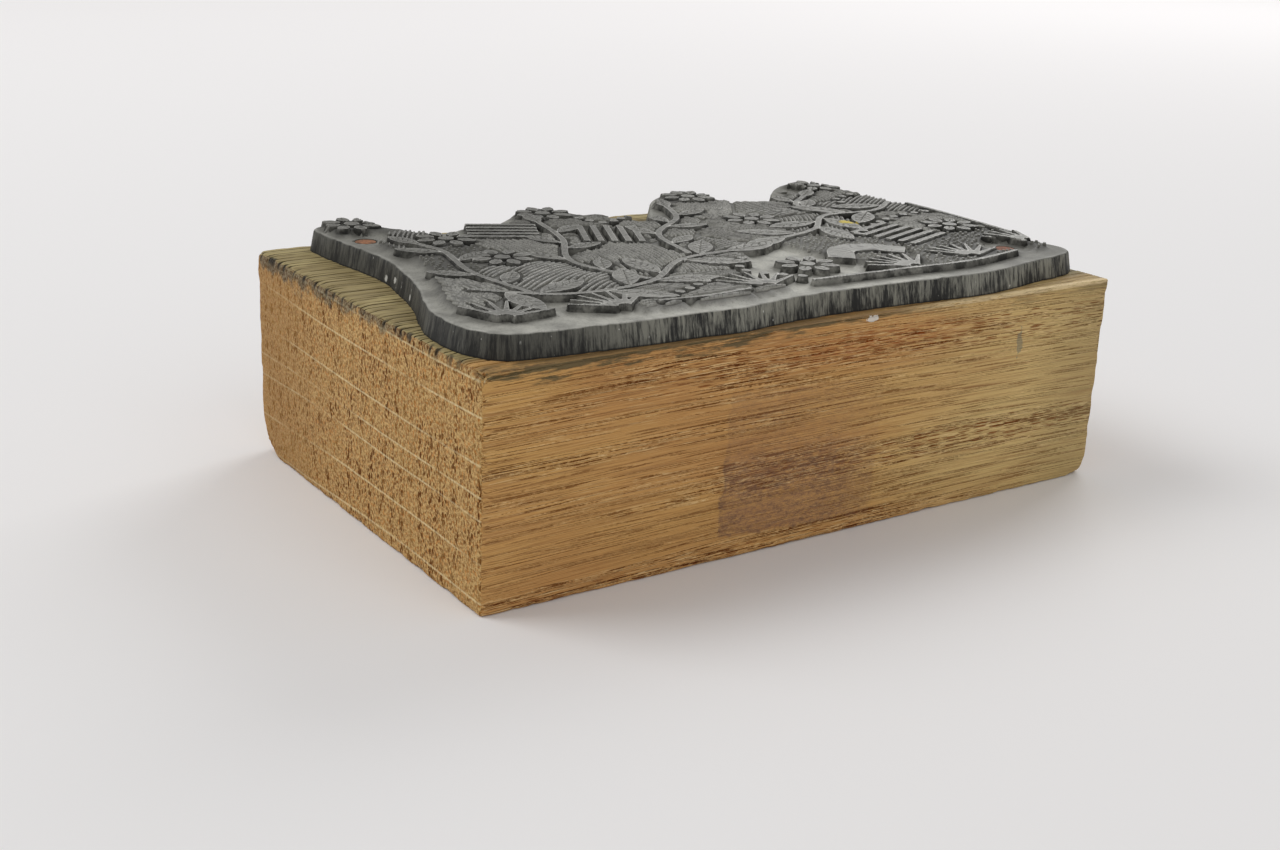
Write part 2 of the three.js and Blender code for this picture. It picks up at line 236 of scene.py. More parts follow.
# Oak block
oak = {
    "arris": 0.24,
    "cell": 0.45,
    "edgeLines": (0.0, 0.09, 0.2, 0.34, 0.5),
    "nick": 0.1,
    "fray": 0.3,
    "uneven": 0.02,
    "markSeed": 11,
    "markPitch": (0.5, 1.35),
    "markHalf": 0.13,
    "markDepth": 0.09,
    "notchDepth": 0.42,
    "notchHalf": 0.24,
    "worn": [
        {"corner": (-1, 1, -1), "radius": 2.6, "reach": 4.2},
        {"corner": (1, -1, -1), "radius": 0.9, "reach": 2.2},
        {"corner": (-1, 1, 1), "radius": 0.5, "reach": 1.8},
        {"corner": (-1, -1, 1), "radius": 0.5, "reach": 1.8},
    ],
    "grainSlope": 0.0014,
    "grainBow": -0.00034,
    "rayPitch": 0.33,
    "porousBands": [
        {"height": 7.3, "half": 1.7, "from": -24.0, "full": -4.0, "share": 1.0},
        {"height": 18.0, "half": 1.9, "from": -34.0, "full": -12.0, "share": 0.9},
        {"height": 12.4, "half": 0.9, "from": 12.0, "full": -8.0, "share": 0.55},
        {"height": 0.6, "half": 1.4, "from": 30.0, "full": 4.0, "share": 0.8},
    ],
    # fineness of each noise in cells to the millimetre, its detail and its roughness
    "rings": ((0.014, 0.5, 0.24), 2.0),
    "ringWander": ((0.02, 0.05, 0.11), 1.0),
    "drift": ((0.03, 0.12, 0.12), 2.0),
    "fibre": ((0.07, 3.0, 7.0), 4.0, 0.65),
    "thread": ((0.22, 6.0, 11.0), 3.0, 0.6),
    "torn": ((0.8, 6.0, 8.0), 3.0, 0.7),
    "veins": ((0.013, 0.9, 1.05), 3.0, 0.55),
    "beads": ((1.8, 4.0, 4.5), 3.0, 0.75),
    "runs": ((0.07, 1.4, 2.1), 2.0, 0.55),
    "speckle": ((1.6, 3.4, 3.8), 3.0, 0.7),
    "patchy": ((0.2, 0.25, 0.22), 2.0),
    "rayWander": ((0.02, 0.02, 0.06), 1.0),
    "rayFade": ((0.05, 0.09, 0.5), 2.0),
    "planeRun": ((0.14, 0.9, 0.9), 3.0, 0.6),
    "amber": ((2.0, 3.0, 2.6), 2.0),
    "hairLines": ((0.1, 4.5, 4.5), 3.0, 0.6),
    "pepper": ((1.6, 3.2, 3.4), 4.0, 0.85),
    "inkSmear": ((0.2, 0.5, 1.5), 5.0, 0.68),
    "drips": ((1.0, 0.7, 0.5), 4.0, 0.65),
    # pores: cells to the millimetre, least and greatest size, raggedness
    "endPores": ((0.9, 3.3, 1.7), 0.24, 0.43, 0.3),
    "endPits": ((1.1, 5.2, 2.8), 0.36, 0.5, 0.3),
    "sideDashes": ((0.5, 5.0, 10.5), -0.2, 0.46, 0.25),
    "veinCount": 17.0,
    "facing": (0.62, 0.78),
    "rustPlace": (5.0, 18.2),
    "frontInkLevel": (19.8, 20.8),
    "endInkLevel": (19.3, 20.3),
    "endGrain": srgb(210, 174, 112),
    "endShade": srgb(158, 116, 62),
    "endOrange": srgb(198, 128, 50),
    "endPit": srgb(128, 80, 30),
    "endPore": srgb(98, 54, 16),
    "ray": srgb(232, 212, 164),
    "sideGrain": srgb(198, 147, 86),
    "sideGold": srgb(207, 161, 94),
    "sidePale": srgb(214, 188, 126),
    "sideShade": srgb(148, 100, 52),
    "sideThread": srgb(236, 206, 150),
    "dusty": srgb(134, 118, 80),
    "pore": srgb(94, 46, 14),
    "porous": srgb(134, 76, 32),
    "top": srgb(160, 144, 100),
    "topShade": srgb(132, 116, 74),
    "topPale": srgb(182, 166, 116),
    "topLine": srgb(44, 36, 22),
    "greenInk": srgb(78, 74, 50),
    "blackInk": srgb(38, 36, 30),
    "greyInk": srgb(108, 108, 92),
    "rust": srgb(158, 80, 28),
    "paleArris": srgb(232, 208, 162),
    "whiteFleck": srgb(224, 218, 208),
    "fleckPlace": (4.2, 20.3),
    "fleckSize": (0.7, 0.3),
    "blueSmear": srgb(122, 122, 104),
    "smearPlace": (23.7, 15.5),
    "smearSize": (0.4, 1.4),
    "ghost": srgb(146, 108, 82),
    "ghostRim": srgb(88, 66, 54),
    "ghostPlace": (-2.8, 8.4),
    "ghostSize": (17.9, 13.5),
    "ghostTurn": 3.0,
}


def planeMarks(half):
    # where the plane ran through the pores: place across the top, darkness and depth of notch
    random = np.random.default_rng(oak["markSeed"])
    places = np.cumsum(random.uniform(*oak["markPitch"], 80)) - half + 0.4
    places = places[places < half - 0.9]
    strengths = random.uniform(0.25, 1.0, len(places))
    return places, strengths, random.uniform(0.0, 1.0, len(places)) ** 2


def edgeLines(half, marks=()):
    # cuts along one side of the block, closer together near both edges and beside each mark
    near = np.array(oak["edgeLines"])
    count = int((2 * half - 2 * near[-1]) / oak["cell"])
    middle = np.linspace(-half + near[-1], half - near[-1], count + 1)[1:-1]
    if len(marks):
        middle = middle[np.abs(middle[:, None] - marks).min(axis=1) > 1.7 * oak["markHalf"]]
        beside = [marks + side * oak["markHalf"] for side in (-1, 0, 1)]
        middle = np.sort(np.concatenate([middle, *beside]))
    return np.concatenate([-half + near, middle, (half - near)[::-1]])


def boxSurface(lines):
    # points and quads of the six faces between the lines of each axis
    keys = []
    for axis in range(3):
        first, second = (axis + 1) % 3, (axis + 2) % 3
        i, j = np.meshgrid(*(np.arange(len(lines[a]) - 1) for a in (first, second)), indexing="ij")
        i, j = i.ravel(), j.ravel()
        for end in (0, len(lines[axis]) - 1):
            corners = [(i, j), (i + 1, j), (i + 1, j + 1), (i, j + 1)]
            if end == 0:
                corners.reverse()
            quad = np.zeros((len(i), 4, 3), int)
            quad[:, :, axis] = end
            for number, (a, b) in enumerate(corners):
                quad[:, number, first] = a
                quad[:, number, second] = b
            keys.append(quad)
    keys = np.concatenate(keys).reshape(-1, 3)
    places, index = np.unique(keys, axis=0, return_inverse=True)
    points = np.stack([lines[a][places[:, a]] for a in range(3)], axis=1)
    return points, index.reshape(-1, 4)


def markAt(points, places, strengths, halfWidth):
    # strength of the nearest mark, fading to nothing at halfWidth to its side
    away = np.abs(points[:, 1, None] - places)
    nearest = away.argmin(axis=1)
    return strengths[nearest] * np.clip(1 - away.min(axis=1) / halfWidth, 0, 1)


def oakPoints(points, half, marks):
    radius = np.full(len(points), oak["arris"])
    for worn in oak["worn"]:
        away = np.linalg.norm(points - half * np.array(worn["corner"]), axis=1)
        share = np.clip(1 - away / worn["reach"], 0, 1)
        radius += worn["radius"] * share * share * (3 - 2 * share)
    inner = np.clip(points, -(half - radius[:, None]), half - radius[:, None])
    away = points - inner
    outward = away / np.maximum(np.linalg.norm(away, axis=1), 1e-9)[:, None]
    rounded = inner + outward * radius[:, None]
    # nicks and dents along the arrises, and notches in the left one where the plane left it
    nearest = np.sort(half - np.abs(points), axis=1)[:, 1]
    fromEnd = half[0] + points[:, 0]
    fromSide = half[1] - np.abs(points[:, 1])
    fromTop = half[2] - points[:, 2]
    lumps = np.clip(unitNoise(points, (1.7, 1.7, 1.7), 3) - 0.1, 0, 1)
    chips = np.clip(unitNoise(points, (0.6, 0.6, 0.6), 9), 0, 1)
    depth = oak["nick"] * bell(nearest, 0.45) * (0.2 + 1.6 * lumps + chips)
    depth += oak["nick"] * bell(fromEnd, 0.8) * bell(fromTop, 0.4) * (0.2 + 1.6 * chips)
    places, strengths, notches = marks
    notched = bell(fromEnd, 0.42) * bell(fromTop, 0.7)
    depth += oak["notchDepth"] * notched * markAt(points, places, notches, oak["notchHalf"])
    fray = np.clip(unitNoise(points, (4, 0.5, 0.9), 15), 0, 1)
    fray = fray * np.clip(unitNoise(points, (4, 3, 5), 16) + 0.2, 0, 1)
    depth += oak["fray"] * fray * bell(fromEnd, 0.7) * bell(fromSide, 0.5)
    depth += oak["uneven"] * (1 + unitNoise(points, (9, 2.5, 2.5), 5))
    drop = oak["markDepth"] * markAt(points, places, strengths, oak["markHalf"]) * (fromTop < 0.01)
    return rounded - outward * depth[:, None] - np.outer(drop, (0, 0, 1))


def poreMask(grain, density, tear, cells, least, most, ragged):
    found = addNode(grain.tree, "ShaderNodeTexVoronoi",
                    Vector=stretch(grain, cells), Scale=1.0, Randomness=1.0)
    chance = made(grain.tree, "ShaderNodeSeparateColor", Color=found.outputs["Color"])
    size = (density * (most - least) + least) * (chance * 1.1 + 0.15)
    edge = Wire(found.outputs["Distance"]) + (tear - 0.5) * ragged
    return remap(edge - size, 0.07, -0.03)


def paperGhost(x, z, place, onFront):
    # where a paper was stuck to the front, turned a little: its stain, and its dark rim and specks
    turn = math.radians(oak["ghostTurn"])
    fromX = x - oak["ghostPlace"][0]
    fromZ = z - oak["ghostPlace"][1]
    along = fromX * math.cos(turn) - fromZ * math.sin(turn)
    up = fromX * math.sin(turn) + fromZ * math.cos(turn)
    ragged = (noise(place, 0.9, 4.0) - 0.5) * 1.4
    halfLong, halfHigh = (size / 2 for size in oak["ghostSize"])
    inLong = remap(abs(along) + ragged, halfLong + 0.1, halfLong - 0.3)
    inHigh = remap(abs(up) + ragged, halfHigh + 0.1, halfHigh - 0.4)
    ghost = inLong * inHigh * onFront * remap(up, 2.5, -1.5, 0.25, 0.7)
    ghost = ghost * remap(along, halfLong, halfLong - 6.0, 0.45, 1.0)
    pepper = noise(place, *oak["pepper"])
    rimLong = remap(along, 0.9 - halfLong, -0.2 - halfLong)
    rimHigh = remap(up, 1.0 - halfHigh, -0.2 - halfHigh) * remap(along, 4.0, -4.0, 0.3, 1.0)
    rim = larger(rimLong, rimHigh) * ghost * remap(pepper, 0.4, 0.55)
    rim = larger(rim, ghost * remap(pepper, 0.53, 0.62, 0.0, 0.75))
    return ghost * remap(pepper, 0.36, 0.58, 0.2, 1.0), rim


def oakMaterial():
    material, tree, place = newMaterial("wornOak")
    x, y, z = split(place)
    facing = surfaceNormal(tree)
    onEnd = remap(abs(facing[0]), *oak["facing"])
    onTop = remap(facing[2], *oak["facing"])
    onFront = remap(facing[1] * -1.0, *oak["facing"])
    rise = x * (x * oak["grainBow"] + oak["grainSlope"])
    grain = made(tree, "ShaderNodeCombineXYZ", X=x, Y=y, Z=z - rise)
    drift, fibre = noise(grain, *oak["drift"]), noise(grain, *oak["fibre"])
    thread, torn = noise(grain, *oak["thread"]), noise(grain, *oak["torn"])
    speckle, patchy = noise(place, *oak["speckle"]), noise(place, *oak["patchy"])

    # early wood shows as long patches on the front and as upright rows of pores on the end
    rings = noise(grain, *oak["rings"])
    early = remap(rings, 0.44, 0.62, 0.0, 0.4)
    for porous in oak["porousBands"]:
        offBand = abs(z - rise + rings * 1.6 - (porous["height"] + 0.8))
        inBand = remap(offBand, porous["half"] * 1.3, porous["half"] * 0.5, 0.0, porous["share"])
        early = larger(early, inBand * remap(x, porous["from"], porous["full"], 0.1, 1.0))
    rows = remap(lineCells((y + noise(grain, *oak["ringWander"]) * 5.0) * 0.5, 0.9), 0.32, 0.06)
    endPores = poreMask(grain, rows, speckle, *oak["endPores"])
    endPits = poreMask(grain, rows, speckle, *oak["endPits"])
    sideDashes = poreMask(grain, early, torn, *oak["sideDashes"])

    # on the front the pores are cut lengthwise: thin lines of short dark beads, a pale thread beside them
    level = calc("PINGPONG", noise(grain, *oak["veins"]) * oak["veinCount"], 0.5)
    beads = noise(grain, *oak["beads"])
    shown = remap(noise(grain, *oak["runs"]), 0.4, 0.52) * remap(early, 0.0, 0.8, 0.5, 1.0)
    sidePores = remap(level + beads * 0.8, 0.56, 0.44) * shown
    finePores = remap(level + torn * 0.5, 0.5, 0.3)
    paleRuns = remap(abs(level - 0.25), 0.07, 0.02) * remap(beads, 0.42, 0.6)
    threads = remap(thread, 0.55, 0.65, 0.0, 0.9) * remap(early, 0.1, 0.9, 0.14, 1.0)

    # rays are thin pale lines across the end
    rays = lineCells(z * oak["rayPitch"] + noise(place, *oak["rayWander"]), 0.8)
    rays = remap(rays, 0.042, 0.018) * remap(speckle, 0.3, 0.6, 0.5, 1.0)
    rays = rays * remap(noise(place, *oak["rayFade"]), 0.36, 0.56, 0.25, 1.0)

    # planed top with dark straight lines where the plane ran through the pores
    planeRun = remap(noise(place, *oak["planeRun"]), 0.35, 0.6, 0.4, 1.5)
    topLine = remap(painted(tree, "planeMark") * planeRun, 0.12, 0.42)

    sideColour = coated(
        mixed(remap(drift, 0.35, 0.65), oak["sideGrain"], oak["sideGold"]),
        (remap(x + drift * 26.0, 12.0, 42.0, 0.0, 0.8), oak["sidePale"]),
        (remap(fibre, 0.54, 0.36, 0.0, 0.55), oak["sideShade"]),
        (threads, oak["sideThread"]),
        (paleRuns * remap(shown, 0.3, 1.0, 0.1, 0.95), oak["sideThread"]),
        (finePores * 0.33, oak["sideShade"]),
        (sideDashes * 0.9, oak["porous"]),
        (sidePores * remap(x, 4.0, 26.0, 0.95, 0.7), oak["pore"]),
        # greyer and darker towards the right end of the front
        (remap(x + drift * 6.0, 27.0, 38.0, 0.0, 0.35), oak["dusty"]),
    )
    clearer = remap(patchy, 0.36, 0.6, 0.35, 1.0)
    endColour = coated(
        mixed(remap(speckle, 0.38, 0.6), oak["endShade"], oak["endGrain"]),
        # orange patches on the end, partly the wood's own colour and partly painted highlight standing in
        # for the lit edges of its pores
        (remap(noise(place, *oak["amber"]), 0.54, 0.64, 0.0, 0.6), oak["endOrange"]),
        (endPits * (clearer * 0.75), oak["endPit"]),
        (endPores * (clearer * 0.95), oak["endPore"]),
        (rays * 0.75, oak["ray"]),
        (remap(y, 0.0, 22.0, 0.0, 0.6), oak["endShade"]),
    )
    # the strip of the top in front of the plate is as brown as the front
    inFront = (drift - 0.5) * 4.0 + y
    topColour = coated(
        mixed(remap(fibre, 0.38, 0.6), oak["topShade"], oak["top"]),
        (remap(patchy, 0.5, 0.62, 0.0, 0.6), oak["topPale"]),
        (remap(noise(place, *oak["hairLines"]), 0.55, 0.66, 0.0, 0.6), oak["topLine"]),
        (topLine * 0.95, oak["topLine"]),
        (remap(inFront, -18.6, -20.8, 0.0, 0.9), sideColour),
    )

    # rust-red streak high on the front
    rustX, rustZ = oak["rustPlace"]
    rust = remap(abs(x - rustX), 17.0, 4.0) * remap(abs(z - rustZ), 2.4, 0.4) * onFront

    # ink and dirt: streaks under the plate on the front, a ragged black arris along the top of the end
    frontInk = z + (noise(place, *oak["inkSmear"]) - 0.5) * 7.0 + remap(x, -8.0, -26.0, 0.0, 0.32)
    frontInk = remap(frontInk, *oak["frontInkLevel"]) * remap(x, 20.0, -6.0, 0.35, 0.85)
    frontInk = frontInk * larger(onFront, onTop * remap(y, -20.5, -22.0, 0.0, 0.7))
    drips = noise(place, *oak["drips"])
    endInk = z + (drips - 0.5) * 4.5 + remap(y, -4.0, 12.0, 0.0, 0.4)
    endInk = remap(endInk, *oak["endInkLevel"]) * remap(y, -20.0, -2.0, 0.3, 0.95)
    endInk = endInk * (1.0 - larger(onTop, onFront))
    notchInk = remap(painted(tree, "notch") * drips, 0.04, 0.16) * remap(x, -34.9, -35.35)
    notchInk = notchInk * remap(z, 19.6, 20.3) * remap(y, -23.0, -14.0, 0.35, 1.0)

    # a pale line along the right of the front's top arris, one white fleck and one bluish smear
    paleLine = remap(z, 20.25, 20.4) * remap(y, -22.2, -22.6) * remap(x, 6.0, 16.0, 0.0, 0.75)
    ragged = (noise(place, 2.6, 3.0) - 0.5) * 2.4
    spots = []
    for name in ("fleck", "smear"):
        centre, size = oak[name + "Place"], oak[name + "Size"]
        across = (x - centre[0]) * (1 / size[0])
        upward = (z - centre[1]) * (1 / size[1])
        spots.append(remap(calc("SQRT", across ** 2.0 + upward ** 2.0) + ragged, 1.0, 0.8) * onFront)

    ghost, ghostRim = paperGhost(x, z, place, onFront)
    colour = coated(
        sideColour,
        (onEnd, endColour),
        (onTop, topColour),
        (ghost, oak["ghost"]),
        (ghostRim * 0.8, oak["ghostRim"]),
        (rust * remap(torn, 0.47, 0.56, 0.0, 0.55), oak["rust"]),
        (frontInk, oak["greenInk"]),
        (endInk * 0.75, mixed(remap(speckle, 0.42, 0.6), oak["blackInk"], oak["greyInk"])),
        (notchInk * 0.9, oak["blackInk"]),
        (paleLine * remap(torn, 0.35, 0.5), oak["paleArris"]),
        (spots[0] * 0.9, oak["whiteFleck"]),
        (spots[1] * 0.6, oak["blueSmear"]),
    )
    sideHoles = larger(sidePores, sideDashes * 0.5)
    pits = mixed(onEnd, mixed(onTop, sideHoles, topLine), endPores + endPits * 0.5)
    ridges = fibre * remap(onTop, 0.0, 1.0, 0.5, 0.12)
    return finishMaterial(
        material, ridges + speckle * 0.4 - pits, 0.75, 0.12,
        BaseColor=colour,
        Roughness=remap(fibre, 0.2, 0.8, 0.6, 0.8),
        SpecularIORLevel=remap(pits, 0.0, 0.8, 0.35, 0.05),
    )


def makeOakBlock():
    half = blockSize / 2
    marks = planeMarks(half[1])
    flat, faces = boxSurface([edgeLines(half[0]), edgeLines(half[1], marks[0]), edgeLines(half[2])])
    points = oakPoints(flat, half, marks) + (blockLow + blockHigh) / 2
    points = np.clip(points, blockLow, blockHigh)
    block = makePiece("oakBlock", points, faces, oakMaterial())
    paintPoints(block, "planeMark", markAt(flat, marks[0], marks[1], oak["markHalf"]))
    paintPoints(block, "notch", markAt(flat, marks[0], marks[2], oak["notchHalf"]))
    addToObject(block, "wood_block")
    print("oak block", len(faces) * 2, "triangles")


# Relief plate: its outline and its motifs stand in shares of its length and width, as in the solid
plate = {
    "leftMargin": 0.6,
    "rightMargin": 0.3,
    "frontMargin": 0.3,
    "backMargin": 0.4,
    "thickness": 2.1,
    "relief": 0.76,
    "edgeRun": 0.4,
    "arris": 0.15,
    "edgeStep": 0.22,
    "fieldMargin": 0.5,
    "finePitch": 0.17,
    "coarsePitch": 0.4,
    "softEtch": 0.25,
    "shoulder": 0.14,
    "toolMark": 0.14,
    "toolCells": [(0.62, 11), (1.5, 12), (4.0, 13)],
    "rimRise": 0.8,
    "beyondShoulder": 0.34,
    "insideEdge": -0.08,
    "slopePitch": 0.16,
    # uneven ground as (height, size of a lump, seed), worn edges and cut lines
    "waves": [(0.035, 3.1, 2), (0.02, 0.9, 6)],
    "wear": (0.02, 6, 4),
    "bevel": 0.02,
    "cutDepth": 0.11,
    "cutHalf": 0.07,
    "sharpAngle": 38,
    "pocketSides": 28,
    "outlineShares": [
        (0.002, 0.163), (0.011, 0.088), (0.033, 0.039), (0.08, 0.024), (0.171, 0.013), (0.238, 0.008),
        (0.299, 0.008), (0.351, 0.001), (0.414, 0.015), (0.485, 0.024), (0.562, 0.024), (0.642, 0.019),
        (0.72, 0.011), (0.775, 0.009), (0.831, 0.022), (0.89, 0.042), (0.939, 0.053), (0.983, 0.077),
        (0.997, 0.119), (0.99, 0.196), (0.994, 0.302), (0.997, 0.413), (0.999, 0.545), (0.994, 0.656),
        (0.986, 0.766), (0.973, 0.845), (0.96, 0.89), (0.959, 0.947), (0.935, 0.986), (0.902, 0.973),
        (0.853, 0.916), (0.808, 0.832), (0.787, 0.806), (0.752, 0.819), (0.73, 0.854), (0.725, 0.916),
        (0.727, 0.962), (0.7, 0.998), (0.654, 0.973), (0.618, 0.93), (0.589, 0.87), (0.562, 0.81),
        (0.54, 0.757), (0.523, 0.722), (0.513, 0.752), (0.504, 0.8), (0.474, 0.826), (0.45, 0.867),
        (0.437, 0.92), (0.415, 0.956), (0.384, 0.947),
        (0.341, 0.885), (0.299, 0.839), (0.253, 0.837), (0.222, 0.815), (0.196, 0.832), (0.166, 0.885),
        (0.148, 0.929), (0.147, 0.974), (0.124, 0.998), (0.085, 0.993), (0.06, 0.965), (0.057, 0.901),
        (0.06, 0.821), (0.068, 0.722), (0.07, 0.623), (0.06, 0.536), (0.043, 0.417), (0.02, 0.322),
        (0.004, 0.236),
    ],
}
groundLevel = blockHigh[2] + plate["thickness"]
printingLevel = groundLevel + plate["relief"]

nails = {
    "left": (0.097, 0.804),
    "right": (0.905, 0.168),
    "pin": (0.872, 0.876),
    "headRadius": 1.05,
    "headThickness": 0.45,
    "shankRadius": 0.5,
    "length": 14.0,
    "tipLength": 1.8,
    "clearance": 0.04,
    "pinSink": 0.6,
    "pinHole": 0.65,
    "clearing": 1.1,
    "crust": (2.6, 4.0, 0.65),
    "grain": (11.0, 3.0, 0.6),
    "rustedHead": (srgb(156, 102, 66), srgb(112, 78, 56), srgb(178, 130, 92)),
    "redRustedHead": (srgb(150, 98, 76), srgb(110, 80, 66), srgb(178, 130, 104)),
    # the sunk pin's near-black colour is partly its own and partly the shade of its hole painted in
    "darkPinAndHoleShade": (srgb(44, 40, 37), srgb(30, 27, 25), srgb(62, 56, 50)),
    "sides": 36,
    "pinSides": 28,
    "sharpAngle": 40,
}

motifs = {
    "stemWidth": 0.6, "leaf": (6.2, 2.4), "smallLeaf": (4.4, 1.7), "leafStalk": 0.5, "leafAngle": 46,
    "stemSteps": 12, "petalStart": 1.15, "petal": (1.9, 1.15), "petals": 8, "eye": 0.75, "blade": 4.2,
    "bladeWidths": (0.6, 0.2), "bladeStart": 0.6, "blades": 7, "bladeSpread": 110, "bead": 0.45,
    "beadPitch": 1.7, "slat": (7.0, 0.6), "slatPitch": 1.35, "ribbonWidth": 2.6, "rippleWidth": 0.4,
    "bandSteps": 40, "stemPoints": 48, "leafSteps": 16, "petalSteps": 10, "eyeSides": 24, "beadSides": 14,
    "sprays": [
        {"leaves": 9, "size": "leaf",
         "route": [(0.08, 0.3), (0.17, 0.19), (0.3, 0.2), (0.41, 0.33), (0.53, 0.36)]},
        {"leaves": 8, "size": "leaf",
         "route": [(0.95, 0.63), (0.88, 0.56), (0.78, 0.56), (0.7, 0.45), (0.6, 0.4)]},
        {"leaves": 6, "size": "smallLeaf", "route": [(0.31, 0.22), (0.27, 0.4), (0.33, 0.6), (0.36, 0.8)]},
        {"leaves": 6, "size": "smallLeaf", "route": [(0.44, 0.37), (0.47, 0.55), (0.56, 0.68), (0.6, 0.82)]},
        {"leaves": 3, "size": "smallLeaf", "route": [(0.8, 0.57), (0.79, 0.68), (0.85, 0.77)]},
        {"leaves": 5, "size": "smallLeaf",
         "route": [(0.14, 0.22), (0.125, 0.42), (0.145, 0.6), (0.13, 0.7)]},
    ],
    "flowers": [
        (0.108, 0.912), (0.393, 0.845), (0.672, 0.88), (0.925, 0.87), (0.2, 0.5), (0.66, 0.6),
        (0.55, 0.19), (0.915, 0.36), (0.185, 0.7),
    ],
    "tufts": [
        ((0.06, 0.1), 60), ((0.21, 0.07), 95), ((0.43, 0.08), 80), ((0.68, 0.08), 100),
        ((0.8, 0.1), 75), ((0.95, 0.16), 120),
    ],
    "slatPanels": [((0.8, 0.34), 20, 6), ((0.41, 0.6), 65, 5), ((0.28, 0.72), -25, 5)],
    "ribbon": [(0.615, 0.2), (0.65, 0.26), (0.69, 0.26), (0.73, 0.2)],
    "beadRows": [
        [(0.93, 0.74), (0.88, 0.7), (0.87, 0.63)], [(0.5, 0.11), (0.45, 0.2), (0.49, 0.29)],
        [(0.95, 0.5), (0.87, 0.48), (0.74, 0.37)], [(0.5, 0.74), (0.44, 0.7), (0.42, 0.8)],
        [(0.24, 0.12), (0.3, 0.11), (0.37, 0.16)],
    ],
    "ripples": [
        [(0.26, 0.075), (0.33, 0.066), (0.4, 0.076)],
        [(0.5, 0.078), (0.64, 0.07), (0.78, 0.066), (0.88, 0.096)],
        [(0.965, 0.24), (0.97, 0.4), (0.97, 0.6)],
    ],
}


def onPlate(share):
    low = blockLow[:2] + (plate["leftMargin"], plate["frontMargin"])
    high = blockHigh[:2] - (plate["rightMargin"], plate["backMargin"])
    return low + (high - low) * np.asarray(share, float)


def evenPoints(line, count=None, pitch=None, closed=False):
    line = np.vstack([line, line[:1]]) if closed else np.asarray(line)
    run = np.concatenate([[0], np.cumsum(np.linalg.norm(np.diff(line, axis=0), axis=1))])
    count = count or max(2, int(round(run[-1] / pitch)))
    stations = np.linspace(0, run[-1], count + 1)
    points = np.stack([np.interp(stations, run, line[:, axis]) for axis in range(2)], axis=1)
    return points[:-1] if closed else points


def blended(points, times, now, reach):
    # each point and the next one, shared out by where now lies between their times
    pairs = zip(points, points[1:], times, times[reach:])
    return [((end - now) * p + (now - start) * q) / (end - start) for p, q, start, end in pairs]


def curveThrough(shares, closed=False, steps=24):
    # centripetal Catmull-Rom curve through places on the plate
    knots = np.array([onPlate(share) for share in shares])
    if closed:
        knots = np.vstack([knots[-1:], knots, knots[:2]])
    else:
        knots = np.vstack([2 * knots[0] - knots[1], knots, 2 * knots[-1] - knots[-2]])
    line = []
    for span in range(len(knots) - 3):
        p = list(knots[span:span + 4])
        t = np.concatenate([[0], np.cumsum([np.linalg.norm(b - a) ** 0.5 for a, b in zip(p, p[1:])])])
        for now in np.linspace(t[1], t[2], steps, endpoint=False):
            second = blended(blended(p, t, now, 1), t, now, 2)
            line += blended(second, t[1:], now, 1)
    if not closed:
        line.append(knots[-2])
    return np.array(line)


def shifted(outline, distance):
    # an anticlockwise outline moved square to its edge, outwards where the distance is positive
    along = np.roll(outline, -1, 0) - np.roll(outline, 1, 0)
    along /= np.linalg.norm(along, axis=1)[:, None]
    return outline + distance * np.stack([along[:, 1], -along[:, 0]], axis=1)


def moved(outline, at, turn):
    c, s = math.cos(turn), math.sin(turn)
    return outline @ np.array([[c, s], [-s, c]]) + at


def oval(length, width, steps, start=0.0, bluntness=1.0):
    share = np.linspace(0, 1, steps + 1)
    half = width / 2 * np.sin(math.pi * share) ** bluntness
    lower = np.stack([start + length * share, -half], axis=1)[:-1]
    upper = np.stack([start + length * share, half], axis=1)[:0:-1]
    return np.vstack([lower, upper])


def disc(radius, sides):
    angle = np.linspace(0, 2 * math.pi, sides, endpoint=False)
    return radius * np.stack([np.cos(angle), np.sin(angle)], axis=1)


def taper(start, length, startWidth, endWidth):
    return np.array([
        (start, -startWidth / 2), (start + length, -endWidth / 2),
        (start + length, endWidth / 2), (start, startWidth / 2),
    ])


def band(points, width):
    along = np.gradient(points, axis=0)
    along /= np.linalg.norm(along, axis=1)[:, None]
    side = np.stack([-along[:, 1], along[:, 0]], axis=1) * width / 2
    return np.vstack([points - side, (points + side)[::-1]])


# Each motif gives raised outlines and the fine lines cut into their tops

def leafShape(length, width):
    start = motifs["leafStalk"]
    outline = oval(length, width, motifs["leafSteps"], start, 0.8)
    cuts = [np.array([(start + 0.3, 0.0), (start + 0.86 * length, 0.0)])]
    for share in (0.2, 0.36, 0.52, 0.68):
        reach = 0.62 * width / 2 * math.sin(math.pi * share) ** 0.8
        for side in (-1, 1):
            foot = np.array([start + share * length, 0.0])
            cuts.append(np.array([foot, foot + (1.1 * reach, side * reach)]))
    return outline, cuts


def sprayMotif(spray):
    length, width = motifs[spray["size"]]
    curve = curveThrough(spray["route"])
    route = evenPoints(curve, count=motifs["stemSteps"])
    raised, cuts = [band(evenPoints(curve, count=motifs["stemPoints"]), motifs["stemWidth"])], []
    for leaf in range(1, spray["leaves"] + 1):
        step = int(leaf / spray["leaves"] * (motifs["stemSteps"] - 1) + 0.5)
        along = math.atan2(*(route[step + 1] - route[step])[::-1])
        side = 1 if leaf % 2 == 0 else -1
        turn = along if leaf == spray["leaves"] else along + side * math.radians(motifs["leafAngle"])
        outline, lines = leafShape(length, width)
        raised.append(moved(outline, route[step], turn))
        cuts += [moved(line, route[step], turn) for line in lines]
    return raised, cuts


